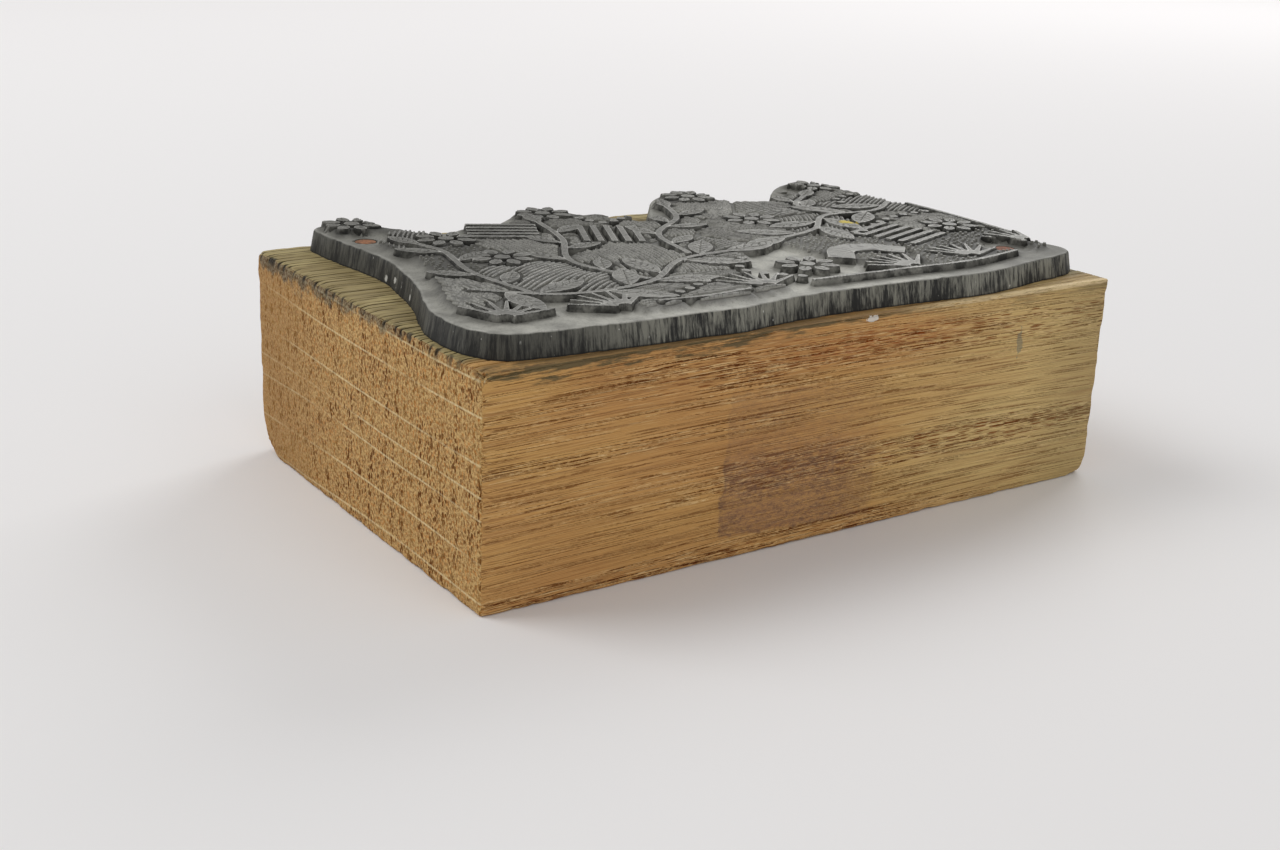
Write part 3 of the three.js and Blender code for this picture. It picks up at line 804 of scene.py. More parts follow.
def flowerMotif(share):
    at = onPlate(share)
    raised = [moved(disc(motifs["eye"], motifs["eyeSides"]), at, 0)]
    cuts = []
    for petal in range(motifs["petals"]):
        turn = petal / motifs["petals"] * 2 * math.pi
        petalShape = oval(*motifs["petal"], motifs["petalSteps"], motifs["petalStart"], 0.7)
        raised.append(moved(petalShape, at, turn))
        middle = motifs["petalStart"] + motifs["petal"][0] * np.array([0.12, 0.62])
        cuts.append(moved(np.stack([middle, np.zeros(2)], axis=1), at, turn))
    return raised, cuts


def tuftMotif(share, towards):
    raised = []
    for blade in range(motifs["blades"]):
        lean = (blade / (motifs["blades"] - 1) - 1 / 2) * motifs["bladeSpread"]
        outline = taper(motifs["bladeStart"], motifs["blade"], *motifs["bladeWidths"])
        raised.append(moved(outline, onPlate(share), math.radians(towards + lean)))
    return raised, []


def slatMotif(share, degrees, slats):
    turn = math.radians(degrees)
    across = np.array([-math.sin(turn), math.cos(turn)])
    length, width = motifs["slat"]
    raised = []
    for slat in range(slats):
        offset = (slat - (slats - 1) / 2) * motifs["slatPitch"]
        outline = taper(-length / 2, length, width, width)
        raised.append(moved(outline, onPlate(share) + across * offset, turn))
    return raised, []


def beadMotif(row):
    route = curveThrough(row)
    length = np.linalg.norm(np.diff(route, axis=0), axis=1).sum()
    beads = max(1, int(length / motifs["beadPitch"] + 0.5))
    bead = disc(motifs["bead"], motifs["beadSides"])
    return [moved(bead, at, 0) for at in evenPoints(route, count=beads)], []


def bandMotif(line, width):
    return [band(evenPoints(curveThrough(line), count=motifs["bandSteps"]), width)], []


def allMotifs():
    every = [sprayMotif(spray) for spray in motifs["sprays"]]
    every += [flowerMotif(share) for share in motifs["flowers"]]
    every += [tuftMotif(share, towards) for share, towards in motifs["tufts"]]
    every += [slatMotif(*panel) for panel in motifs["slatPanels"]]
    every += [beadMotif(row) for row in motifs["beadRows"]]
    every += [bandMotif(line, motifs["rippleWidth"]) for line in motifs["ripples"]]
    every.append(bandMotif(motifs["ribbon"], motifs["ribbonWidth"]))
    raised = [outline for outlines, _ in every for outline in outlines]
    cuts = [line for _, lines in every for line in lines]
    return raised, cuts


# A map over the plate that holds the distance to the nearest raised outline, negative inside one

fieldCell = 0.08
fieldReach = 2.4
fieldLow = plateLow[:2] - 1
fieldCounts = np.ceil((plateHigh[:2] + 1 - fieldLow) / fieldCell).astype(int)


def gridSpots(low, high):
    indexes = np.meshgrid(*(np.arange(low[axis], high[axis]) for axis in range(2)), indexing="ij")
    return np.stack(indexes, axis=-1) * fieldCell + fieldLow


def distanceTo(points, line, closed):
    nearest = np.full(len(points), 1e9)
    inside = np.zeros(len(points), bool)
    for a, b in zip(line, np.roll(line, -1, 0) if closed else line[1:]):
        run = b - a
        share = np.clip(((points - a) @ run) / max(run @ run, 1e-12), 0, 1)
        nearest = np.minimum(nearest, np.linalg.norm(points - a - share[:, None] * run, axis=1))
        if closed and a[1] != b[1]:
            crosses = (a[1] > points[:, 1]) != (b[1] > points[:, 1])
            inside ^= crosses & (points[:, 0] < a[0] + (points[:, 1] - a[1]) * run[0] / run[1])
    return np.where(inside, -nearest, nearest)


def distanceMap(lines, closed, reach=fieldReach):
    grid = np.full(fieldCounts, reach)
    for line in lines:
        low = np.clip(((line.min(0) - reach - fieldLow) / fieldCell).astype(int), 0, fieldCounts - 1)
        high = np.clip(((line.max(0) + reach - fieldLow) / fieldCell).astype(int) + 2, 1, fieldCounts)
        window = grid[low[0]:high[0], low[1]:high[1]]
        spots = gridSpots(low, high).reshape(-1, 2)
        np.minimum(window, distanceTo(spots, line, closed).reshape(window.shape), out=window)
    return grid


def readMap(grid, points):
    spot = np.clip((points - fieldLow) / fieldCell, 0, fieldCounts - 1.001)
    base = spot.astype(int)
    part = spot - base
    near = [grid[base[:, 0] + i, base[:, 1] + j] for i, j in ((0, 0), (1, 0), (0, 1), (1, 1))]
    low = near[0] * (1 - part[:, 0]) + near[1] * part[:, 0]
    high = near[2] * (1 - part[:, 0]) + near[3] * part[:, 0]
    return low * (1 - part[:, 1]) + high * part[:, 1]


def hexPoints(pitch):
    xs = np.arange(plateLow[0], plateHigh[0], pitch)
    ys = np.arange(plateLow[1], plateHigh[1], pitch * math.sqrt(3) / 2)
    x, y = np.meshgrid(xs, ys)
    x[1::2] += pitch / 2
    return np.stack([x.ravel(), y.ravel()], axis=1)


def fromNails(points):
    # distance to the nearest nail or pin
    spots = [onPlate(nails[name]) for name in ("left", "right", "pin")]
    return np.min([np.linalg.norm(points - spot, axis=-1) for spot in spots], axis=0)


# Fine strokes fill the ground between the motifs in patches, each with its own direction, and some
# patches are dotted
hatch = {
    "seed": 5,
    "reach": 22,
    "rows": 46,
    "wander": 0.03,
    "step": 0.3,
    "sweepStep": 0.55,
    "baseWidth": 0.34,
    "topWidth": 0.13,
    "taper": 0.25,
    "waver": 0.12,
    "rise": 0.3,
    "sink": 0.1,
    "motifGap": 0.26,
    "rimGap": 2.1,
    "lobeGap": 0.8,
    "patchGap": 0.22,
    "shortest": 0.8,
    "below": 0.012,
    "dotPitch": 0.5,
    "dotRadii": (0.13, 0.2),
    "dotDrop": 0.09,
    "dotCell": 0.4,
    "dotGap": 0.55,
    "dotMargin": 0.7,
    "dotFromNail": 0.9,
    "dotSides": 7,
    "dotScale": (0.8, 1.15),
    "dotSeeds": (4, 3),
    "patches": [
        {"at": (0.05, 0.25), "turn": 95, "pitch": 0.49, "bend": 0.5},
        {"at": (0.2, 0.32), "turn": 28, "pitch": 0.52, "bend": 0.7},
        {"at": (0.1, 0.75), "turn": 60, "pitch": 0.47, "bend": 0.3},
        {"at": (0.27, 0.62), "turn": 100, "pitch": 0.53, "bend": 0.4},
        {"at": (0.38, 0.38), "turn": 84, "pitch": 0.46, "bend": 0.6},
        {"at": (0.49, 0.4), "turn": 12, "pitch": 0.52, "bend": 0.4},
        {"at": (0.5, 0.64), "turn": 78, "pitch": 0.49, "bend": 0.5},
        {"at": (0.3, 0.84), "turn": 130, "pitch": 0.52, "bend": 0.3},
        {"at": (0.66, 0.76), "turn": 96, "pitch": 0.47, "bend": 0.5},
        {"at": (0.6, 0.5), "turn": 150, "pitch": 0.52, "bend": 0.6},
        {"at": (0.73, 0.5), "turn": 64, "pitch": 0.46, "bend": 0.5},
        {"at": (0.87, 0.47), "turn": 108, "pitch": 0.50, "bend": 0.6},
        {"at": (0.93, 0.62), "turn": 30, "pitch": 0.49, "bend": 0.3},
        {"at": (0.72, 0.7), "turn": 10, "pitch": 0.52, "bend": 0.4},
        {"at": (0.9, 0.82), "turn": 76, "pitch": 0.49, "bend": 0.4},
        {"at": (0.35, 0.1), "turn": 4, "pitch": 0.46, "bend": 0.4},
        {"at": (0.85, 0.17), "dots": True},
        {"at": (0.4, 0.72), "turn": 140, "pitch": 0.5, "bend": 0.4},
        {"at": (0.66, 0.32), "dots": True},
        {"at": (0.15, 0.58), "dots": True},
        {"at": (0.57, 0.1), "open": True},
        {"at": (0.12, 0.14), "open": True},
        {"at": (0.56, 0.27), "open": True},
        {"at": (0.108, 0.912), "raised": True},
        {"at": (0.393, 0.87), "raised": True},
        {"at": (0.672, 0.9), "raised": True},
        {"at": (0.925, 0.9), "raised": True},
    ],
}


def patchAt(points):
    centres = np.array([onPlate(patch["at"]) for patch in hatch["patches"]])
    away = np.linalg.norm(points[:, None] - centres[None], axis=2)
    nearest = np.sort(away, axis=1)
    return away.argmin(axis=1), nearest[:, 1] - nearest[:, 0]


def openGround(points, inkMap, rimMap, motifGap):
    free = (readMap(inkMap, points) > motifGap) & (readMap(rimMap, points) > hatch["rimGap"])
    return free & (fromNails(points) > nails["headRadius"] + nails["clearing"])


def hatchLines(inkMap, rimMap):
    random = np.random.default_rng(hatch["seed"])
    strokes = []
    for number, patch in enumerate(hatch["patches"]):
        if "turn" not in patch:
            continue
        angle = math.radians(patch["turn"])
        forward = np.array([math.cos(angle), math.sin(angle)])
        side = np.array([-forward[1], forward[0]])
        along = np.arange(-hatch["reach"], hatch["reach"], hatch["step"])
        for row in range(-hatch["rows"], hatch["rows"] + 1):
            bow = patch["bend"] * np.sin(along / 4.2 + row * 0.05 + number)
            across = row * patch["pitch"] + bow + random.normal(0, hatch["wander"])
            points = onPlate(patch["at"]) + along[:, None] * forward + across[:, None] * side
            owner, margin = patchAt(points)
            fits = (owner == number) & (margin > hatch["patchGap"])
            fits &= openGround(points, inkMap, rimMap, hatch["motifGap"])
            breaks = np.flatnonzero(np.diff(np.concatenate([[0], fits.astype(int), [0]])))
            for first, last in zip(breaks[::2], breaks[1::2]):
                last -= int(random.integers(0, 2))
                if (last - first - 1) * hatch["step"] >= hatch["shortest"]:
                    strokes.append(points[first:last])
    return strokes


def patchesWith(key):
    return np.array([key in patch for patch in hatch["patches"]])


def patchShade(points, strokeMap, rimMap):
    # 1 where the ground stands high, among strokes and dots and around the flowers, 0 where it is open
    owner, margin = patchAt(points)
    rim = readMap(rimMap, points)
    dotted = patchesWith("dots")[owner] * np.clip((rim - hatch["rimGap"]) / 0.8, 0, 1)
    raised = patchesWith("raised")[owner] * np.clip((rim - hatch["lobeGap"]) / 0.8, 0, 1)
    among = np.clip((0.9 - readMap(strokeMap, points)) / 0.7, 0, 1)
    share = np.maximum(among, np.clip(margin / 0.8, 0, 1) * (dotted + raised))
    share *= np.clip((fromNails(points) - nails["headRadius"] - nails["clearing"]) / 1.1, 0, 1)
    return share * share * (3 - 2 * share)


def groundDepth(points, inkMap, strokeMap, rimMap):
    ink = readMap(inkMap, points)
    full = plate["relief"] - (plate["relief"] - hatch["rise"]) * patchShade(points, strokeMap, rimMap)
    beyond = np.maximum(ink - plate["shoulder"], 0)
    near = 0.88 * np.clip(ink / plate["shoulder"], 0, 1)
    depth = full * (near + 0.12 * (1 - np.exp(-beyond / plate["softEtch"])))
    high = np.column_stack([points, np.zeros(len(points))])
    waves = sum(amount * unitNoise(high, (cell, cell, 1), seed) for amount, cell, seed in plate["waves"])
    bevel = plate["bevel"] * np.exp(np.minimum(ink, 0) / 0.05) * (ink <= 0)
    amount, cell, seed = plate["wear"]
    wear = amount * (1 + unitNoise(high, (cell, cell, 1), seed))
    etched = depth + waves * np.clip(ink / 0.5, 0, 1) + wear * np.exp(-np.maximum(ink, 0) / 0.1)
    return np.where(ink <= 0, bevel + wear, etched)


def surfacePoints(raised, cuts, inkMap, rimMap):
    # points for the top of the plate, close together along every edge of a motif
    kept, edges = [], []

    def take(points, mask=True):
        good = readMap(rimMap, points) > plate["edgeRun"] + plate["arris"] + 0.12
        good &= (fromNails(points) > nails["headRadius"] + 0.15) & mask
        index = np.full(len(points), -1)
        index[good] = np.arange(good.sum()) + sum(map(len, kept))
        kept.append(points[good])
        return index

    for outline in raised:
        ring = evenPoints(outline, pitch=plate["finePitch"], closed=True)
        index = take(ring, readMap(inkMap, ring) > -0.03)
        edges += [(a, b) for a, b in zip(index, np.roll(index, -1)) if a >= 0 and b >= 0]
        for name, skip in (("shoulder", 1), ("beyondShoulder", 2), ("insideEdge", 1)):
            near = shifted(ring, plate[name])[::skip]
            take(near, np.abs(readMap(inkMap, near) - plate[name]) < 0.03)
    for cut in cuts:
        line = evenPoints(cut, pitch=plate["finePitch"])
        take(line)
        along = np.gradient(line, axis=0)
        along /= np.linalg.norm(along, axis=1)[:, None]
        for side in (-0.09, 0.09):
            take(line + side * np.stack([-along[:, 1], along[:, 0]], axis=1))
    fine = hexPoints(plate["slopePitch"])
    slopes = np.hypot(*np.gradient(inkMap, fieldCell))
    gap = readMap(inkMap, fine)
    take(fine, (gap > 0.04) & (gap < 0.3) & (readMap(slopes, fine) < 0.7))
    coarse = hexPoints(plate["coarsePitch"])
    gap = readMap(inkMap, coarse)
    take(coarse, (gap > 0.42) | (gap < -0.2))
    return np.vstack(kept), edges


def meshInside(loops, points=None, edges=()):
    # triangles inside the first loop and outside the others
    loops = [np.asarray(loop) for loop in loops]
    every = np.vstack(loops + ([points] if points is not None else []))
    joins, start = [], 0
    for loop in loops:
        joins += [(start + i, start + (i + 1) % len(loop)) for i in range(len(loop))]
        start += len(loop)
    joins += [(start + int(a), start + int(b)) for a, b in edges]
    outer = list(range(len(loops[0])))
    found = geometry.delaunay_2d_cdt([Vector(p) for p in every.tolist()], joins, [outer], 1, 1e-6, True)
    places = np.array([tuple(v) for v in found[0]])
    faces = np.array([list(face) for face in found[2]])
    order = {given: number for number, sources in enumerate(found[3]) for given in sources}
    starts = np.cumsum([0] + [len(loop) for loop in loops]).tolist()
    rings = [[order[number] for number in range(*ends)] for ends in zip(starts, starts[1:])]
    # a triangle with all its corners on the first loop may lie in one of its bays
    onRing = np.isin(faces, rings[0]).all(axis=1)
    middle = places[faces].mean(axis=1)
    outside = np.zeros(len(faces), bool)
    outside[onRing] = distanceTo(middle[onRing], loops[0], True) > 0
    faces, middle = faces[~outside], middle[~outside]
    for hole in loops[1:]:
        centre, radius = hole.mean(axis=0), np.linalg.norm(hole[0] - hole.mean(axis=0))
        clear = np.linalg.norm(middle - centre, axis=1) > radius * 0.98
        faces, middle = faces[clear], middle[clear]
    first, second, third = (places[faces[:, corner]] for corner in range(3))
    turn = np.cross(second - first, third - first)
    faces[turn < 0] = faces[turn < 0][:, ::-1]
    return places, faces, rings


def stripBetween(first, second):
    # quads from one closed row of point numbers up to the next
    count = len(first)
    return [(first[i], first[(i + 1) % count], second[(i + 1) % count], second[i]) for i in range(count)]


metal = {
    "cloudy": (0.35, 4.0, 0.6),
    "grit": (5.0, 3.0, 0.65),
    "scratches": ((0.7, 7.0, 2.0), 2.0, 0.5, 0.4),
    "dirt": (0.6, 3.0, 0.6),
    "zone": ((0.16, 0.16, 0.1), 2.0),
    "wideStreaks": ((0.8, 0.8, 0.22), 2.0),
    "fineStreaks": ((3.4, 3.4, 0.5), 4.0, 0.7),
    "specks": ((3.2, 3.2, 1.2), 1.0),
    "cutCount": 34.0,
    "ground": srgb(154, 153, 146),
    "paleGround": srgb(186, 185, 176),
    "film": srgb(72, 71, 64),
    "recess": srgb(42, 41, 39),
    "steep": srgb(28, 28, 27),
    "worn": srgb(116, 115, 110),
    "bright": srgb(164, 163, 158),
    "wallDark": srgb(38, 38, 36),
    "wallLight": srgb(142, 141, 130),
    "speck": srgb(208, 208, 202),
    "rubbed": srgb(198, 197, 191),
    "yellow": srgb(206, 184, 40),
    "crumb": (19.9, -1.1, 23.4),
    "chips": [(-29.99, 5.52, 21.18), (-30.34, 3.07, 21.6), (-31.49, -2.21, 21.34)],
}


def metalMaterial():
    material, tree, place = newMaterial("etchedMetal")
    x, y, height = split(place)
    ground, printing, foot = float(groundLevel), float(printingLevel), float(blockHigh[2])
    flat = abs(surfaceNormal(tree)[2])
    top = remap(height, printing - 0.3, printing - 0.06)
    aboveGround = remap(height, ground - 0.1, ground + 0.1)
    wall = remap(flat, 0.72, 0.5) * (1.0 - aboveGround)
    # painted shade on the steep flanks of the motifs
    steep = remap(flat, 0.92, 0.6) * (aboveGround * painted(tree, "flank"))
    cloudy, grit = noise(place, *metal["cloudy"]), noise(place, *metal["grit"])
    scratches, dirt = noise(place, *metal["scratches"]), noise(place, *metal["dirt"])

    # painted shade where the plate reflects less light, darkest on the left and along the back; an old film
    # of ink over the ground at the right
    leftBackShade = x * 0.7 - y + (cloudy - 0.5) * 36.0
    rightFilm = remap(x, 6.0, 35.0, 0.0, 0.8) * remap(top, 0.0, 1.0, 1.0, 0.4)

    # fine cut lines that follow one another over the raised parts
    cutField = noise(stretch(place, (1.0, 1.0, 0.0)), 0.16, 1.0, 0.4)
    cutLevel = calc("PINGPONG", cutField * metal["cutCount"], 0.5)
    cutLines = remap(cutLevel + grit * 0.3, 0.34, 0.22) * top

    # side of the plate, streaked by the cutter, with painted shade in the seam along its foot
    along = painted(tree, "edgePlace", "Vector")
    streaks = noise(along, *metal["fineStreaks"]) * 0.68 + noise(along, *metal["wideStreaks"]) * 0.32
    lower = remap(height, ground - 0.3, foot, -0.01, 0.045)
    lower = lower + remap(noise(along, *metal["zone"]), 0.4, 0.6, 0.035, -0.025)
    side = coated(
        mixed(remap(streaks - lower, 0.38, 0.6), metal["wallDark"], metal["wallLight"]),
        (remap(x, -14.0, -32.0, 0.0, 0.7), metal["wallDark"]),
        # painted glints of light scattered on the cut side
        (remap(noise(place, *metal["specks"]), 0.76, 0.82), metal["speck"]),
        # painted shade: a dark line in the seam at the foot of the side
        (remap(height, foot + 0.18, foot + 0.04, 0.0, 0.8), metal["steep"]),
    )

    residueAndShadow = painted(tree, "residueAndShadow")
    # painted shade on the low ground among strokes and dots and around the flowers
    hollowShadeAmongStrokes = painted(tree, "hollowShadeAmongStrokes") * remap(height, printing - 0.1, printing - 0.28)
    # pale rubbed edge along the top of each motif, with a painted highlight where that edge meets the light
    rubbed = painted(tree, "rubbed") * remap(cloudy, 0.4, 0.6, 0.35, 1.0) * remap(flat, 0.6, 0.85)
    colour = coated(
        mixed(remap(cloudy, 0.32, 0.66), metal["ground"], metal["paleGround"]),
        (remap(grit, 0.25, 0.5, 0.4, 0.0), metal["recess"]),
        (top * 0.75, mixed(remap(scratches, 0.3, 0.7), metal["worn"], metal["bright"])),
        # painted shade to the left and back, then the ink film over the ground at the right
        (remap(leftBackShade, 16.0, -26.0, 0.0, 0.55), metal["film"]),
        (rightFilm, metal["film"]),
        (cutLines * 0.4, metal["recess"]),
        (wall, side),
        # ink residue beside each motif, with painted shadow at the foot of its walls
        (residueAndShadow * 0.6, metal["recess"]),
        (hollowShadeAmongStrokes * 0.65, metal["recess"]),
        # painted shade on the motif flanks, patchy where dried ink darkens them too
        (steep * remap(dirt, 0.4, 0.6, 0.25, 0.9), metal["steep"]),
        (rubbed, metal["rubbed"]),
    )
    # pale chips on the side at the bay, a crumb of yellow ink on top
    for chip in metal["chips"]:
        away = distanceFrom(place, chip) + grit * 0.3
        colour = mixed(remap(away, 0.5, 0.4, 0.0, 0.9), colour, metal["speck"])
    crumb = distanceFrom(place, metal["crumb"]) + noise(place, 2.5, 2.0) * 1.6
    return finishMaterial(
        material, grit * 0.6 + streaks * (wall * 3.0) - cutLines, 0.5, 0.06, 0.3,
        BaseColor=mixed(remap(crumb, 1.8, 1.55, 0.0, 0.9), colour, metal["yellow"]),
        Roughness=remap(grit + top, 0.3, 1.6, 0.62, 0.46),
        SpecularIORLevel=remap(larger(steep, residueAndShadow), 0.0, 0.8, 0.42, 0.1),
    )


def motifMap(raised, rimMap):
    # distance to the motifs, which keep clear of the rim and the nails
    blocked = plate["edgeRun"] + plate["arris"] + plate["fieldMargin"] - rimMap
    clear = nails["headRadius"] + nails["clearing"] - fromNails(gridSpots((0, 0), fieldCounts))
    return np.maximum(distanceMap(raised, closed=True), np.maximum(blocked, clear))


def sideRows(foot, circle):
    # rows up the side of the plate from its foot to its rim, with the marks of the cutter
    marks = [unitNoise(circle, (cell, cell, 1), seed) for cell, seed in plate["toolCells"]]
    depth = plate["toolMark"] * np.clip(0.9 * marks[0] + 0.5 * marks[1] + 0.3, 0, 1.2)
    depth *= np.clip(0.75 + 0.6 * marks[2], 0.15, 1)
    low, rim = blockHigh[2], groundLevel - plate["arris"]
    levels = [
        (0.0, low, 0.8), (0.1, low + 0.5, 1.0), (0.2, low + 1.0, 1.0), (0.3, low + 1.5, 0.9),
        (plate["edgeRun"] - 0.03, rim - 0.05, 0.6), (plate["edgeRun"] + 0.06, rim + 0.09, 0.25),
    ]
    inward = foot - shifted(foot, -1.0)
    rows = []
    for inset, level, share in levels:
        row = shifted(foot, -inset) - inward * (depth * share)[:, None]
        rows.append(np.column_stack([row, np.full(len(foot), level)]))
    return rows


def topHeights(flat, cuts, inkMap, strokeMap, rimMap):
    depth = groundDepth(flat, inkMap, strokeMap, rimMap)
    for cut in cuts:
        near = np.flatnonzero(np.all((flat > cut.min(0) - 0.1) & (flat < cut.max(0) + 0.1), axis=1))
        if len(near):
            fromCut = distanceTo(flat[near], cut, False)
            depth[near] += plate["cutDepth"] * np.clip(1 - fromCut / plate["cutHalf"], 0, 1)
    z = printingLevel - np.clip(depth, 0.0, plate["relief"] + 0.09)
    toRim = readMap(rimMap, flat) - plate["edgeRun"] - plate["arris"]
    blend = np.clip(toRim / plate["rimRise"], 0, 1)
    return np.where(toRim < plate["rimRise"], np.maximum(z, groundLevel) * (1 - blend) + z * blend, z)


def makePlate(material):
    raised, cuts = allMotifs()
    outline = curveThrough(plate["outlineShares"], closed=True)
    foot = evenPoints(outline, pitch=plate["edgeStep"], closed=True)
    count = len(foot)
    rimMap = -distanceMap([foot[::4]], closed=True, reach=40.0)
    inkMap = motifMap(raised, rimMap)
    strokes = hatchLines(inkMap, rimMap)
    strokeMap = distanceMap(strokes, closed=False, reach=1.4)
    points, edges = surfacePoints(raised, cuts, inkMap, rimMap)
    run = np.arange(count) / count * 2 * math.pi
    around = count * plate["edgeStep"] / (2 * math.pi)
    circle = np.stack([np.cos(run), np.sin(run), 0 * run], axis=1) * around
    rows = sideRows(foot, circle)

    headBore = (nails["headRadius"] + nails["clearance"], groundLevel - nails["headThickness"])
    pinBore = (nails["pinHole"], groundLevel - nails["pinSink"] - 0.1)
    bores = [(onPlate(nails["left"]), *headBore), (onPlate(nails["right"]), *headBore)]
    bores.append((onPlate(nails["pin"]), *pinBore))
    sides = plate["pocketSides"]
    holes = [at + disc(radius, sides) for at, radius, _ in bores]
    ledge = shifted(foot, -(plate["edgeRun"] + plate["arris"]))
    flat, faces, rings = meshInside([ledge] + holes, points, edges)
    z = topHeights(flat, cuts, inkMap, strokeMap, rimMap)
    z[rings[0]] = groundLevel
    for ring in rings[1:]:
        z[ring] = groundLevel - 0.01

    # what the shader reads: ink residue with painted shadow beside a motif, its rubbed edge with a painted
    # highlight, painted shade in the low ground among strokes and the motif's flank
    ink = readMap(inkMap, flat)
    looks = {
        "residueAndShadow": np.exp(-np.maximum(ink, 0) / 0.36) * (ink > 0.03),
        "rubbed": bell(ink + 0.01, 0.035),
        "hollowShadeAmongStrokes": patchShade(flat, strokeMap, rimMap),
        "flank": np.clip((ink + 0.03) / 0.04, 0, 1) * np.clip((0.5 - ink) / 0.2, 0, 1),
    }
    # the rim gets a fainter pale edge and painted highlight
    looks["rubbed"][rings[0]] = 0.3

    # top, side, underside and bores become one closed skin
    allPoints, allFaces = [np.column_stack([flat, z])], faces.tolist()
    start = len(flat)
    rowNumbers = []
    for row in rows:
        rowNumbers.append(list(range(start, start + count)))
        allPoints.append(row)
        start += count
    rowNumbers.append(rings[0])
    for first, second in zip(rowNumbers, rowNumbers[1:]):
        allFaces += stripBetween(first, second)
    under, underFaces, underRing = meshInside([rows[0][:, :2]])
    numbers = dict(zip(underRing[0], rowNumbers[0]))
    for i in range(len(under)):
        if i not in numbers:
            numbers[i] = start
            allPoints.append(np.array([[*under[i], blockHigh[2]]]))
            start += 1
    allFaces += [tuple(numbers[i] for i in face[::-1]) for face in underFaces.tolist()]
    for (at, radius, floor), ring in zip(bores, rings[1:]):
        bottom = at + disc(radius * 0.97, sides)
        allPoints.append(np.column_stack([bottom, np.full(sides, floor)]))
        lower = tuple(range(start, start + sides))
        start += sides
        allFaces += stripBetween(lower, ring)
        allFaces.append(lower)
    piece = makePiece("reliefPlate", np.vstack(allPoints), allFaces, material)
    for name, values in looks.items():
        paintPoints(piece, name, np.concatenate([values, np.zeros(start - len(flat))]))
    edgePlace = np.zeros((start, 3))
    levels = [row[0, 2] for row in rows] + [groundLevel]
    for row, level in zip(rowNumbers, levels):
        edgePlace[row] = circle + (0, 0, level)
    paintPoints(piece, "edgePlace", edgePlace)
    piece.data.set_sharp_from_angle(angle=math.radians(plate["sharpAngle"]))
    addToObject(piece, "printing_plate")
    print("relief plate", sum(len(face) - 2 for face in allFaces), "triangles,", len(strokes), "strokes")
    return strokes, inkMap, rimMap


# Geometry Nodes pieces: the tree is built here, its result becomes a plain mesh

def newTree(name, sizes):
    tree = bpy.data.node_groups.new(name, "GeometryNodeTree")
    for side in ("INPUT", "OUTPUT"):
        tree.interface.new_socket("Geometry", in_out=side, socket_type="NodeSocketGeometry")
    for key, value in sizes.items():
        kind = "NodeSocketInt" if isinstance(value, int) else "NodeSocketFloat"
        tree.interface.new_socket(key, in_out="INPUT", socket_type=kind).default_value = value
    return tree, {socket.name: Wire(socket) for socket in tree.nodes.new("NodeGroupInput").outputs}


def closeTree(tree, shape, material):
    solid = made(tree, "GeometryNodeRealizeInstances", Geometry=shape)
    finished = made(tree, "GeometryNodeSetMaterial", Geometry=solid, Material=material)
    join(finished, tree.nodes.new("NodeGroupOutput").inputs["Geometry"])
    return tree


def bakeTree(source, tree, sizes):
    modifier = source.modifiers.new(tree.name, "NODES")
    modifier.node_group = tree
    for item in tree.interface.items_tree:
        if item.in_out == "INPUT" and item.name in sizes:
            modifier[item.identifier] = sizes[item.name]
    graph = bpy.context.evaluated_depsgraph_get()
    mesh = bpy.data.meshes.new_from_object(source.evaluated_get(graph))
    source.modifiers.remove(modifier)
    bpy.data.objects.remove(source)
    mesh.name = tree.name
    piece = bpy.data.objects.new(tree.name, mesh)
    bpy.context.scene.collection.objects.link(piece)
    print(piece.name, sum(len(face.vertices) - 2 for face in mesh.polygons), "triangles")
    addToObject(piece, "printing_plate")


def strokeTree(sizes, material):
    tree, given = newTree("hatchStrokes", sizes)
    even = made(tree, "GeometryNodeResampleCurve", {"mode": "LENGTH"},
                Curve=given["Geometry"], Length=given["Step"])
    profile = made(tree, "GeometryNodeCurvePrimitiveQuadrilateral", {"mode": "TRAPEZOID"}, Offset=0.0,
                   Height=given["Height"], BottomWidth=given["Base Width"], TopWidth=given["Top Width"])
    lift = made(tree, "ShaderNodeCombineXYZ", Y=given["Height"] * -0.5)
    # the sweep hangs a profile upside down, so it is turned over here
    raised = made(tree, "GeometryNodeTransform",
                  Geometry=profile, Translation=lift, Rotation=(0, 0, math.pi))
    factor = made(tree, "GeometryNodeSplineParameter")
    scale = remap(calc("MINIMUM", factor, 1.0 - factor), 0.0, given["Taper"], 0.72, 1.0)
    swept = made(tree, "GeometryNodeCurveToMesh",
                 Curve=even, ProfileCurve=raised, Scale=scale, FillCaps=True)
    wobble = noise(made(tree, "GeometryNodeInputPosition"), 900.0, 1.0)
    sideways = (wobble - 0.5) * given["Waver"]
    offset = made(tree, "ShaderNodeCombineXYZ", X=sideways, Y=sideways)
    bent = made(tree, "GeometryNodeSetPosition", Geometry=swept, Offset=offset)
    return closeTree(tree, bent, material)


def makeStrokes(strokes, material):
    curve = bpy.data.curves.new("strokeLines", "CURVE")
    curve.dimensions = "3D"
    level = printingLevel - hatch["below"] - hatch["rise"] - hatch["sink"]
    for stroke in strokes:
        spline = curve.splines.new("POLY")
        spline.points.add(len(stroke) - 1)
        heights = np.full(len(stroke), level)
        places = np.column_stack([stroke, heights]) * mm
        spline.points.foreach_set("co", np.column_stack([places, np.ones(len(stroke))]).ravel())
    lines = bpy.data.objects.new("strokeLines", curve)
    bpy.context.scene.collection.objects.link(lines)
    sizes = {
        "Step": hatch["sweepStep"] * mm,
        "Base Width": hatch["baseWidth"] * mm,
        "Top Width": hatch["topWidth"] * mm,
        "Height": (hatch["rise"] + hatch["sink"]) * mm,
        "Taper": hatch["taper"],
        "Waver": hatch["waver"] * mm,
    }
    bakeTree(lines, strokeTree(sizes, material), sizes)


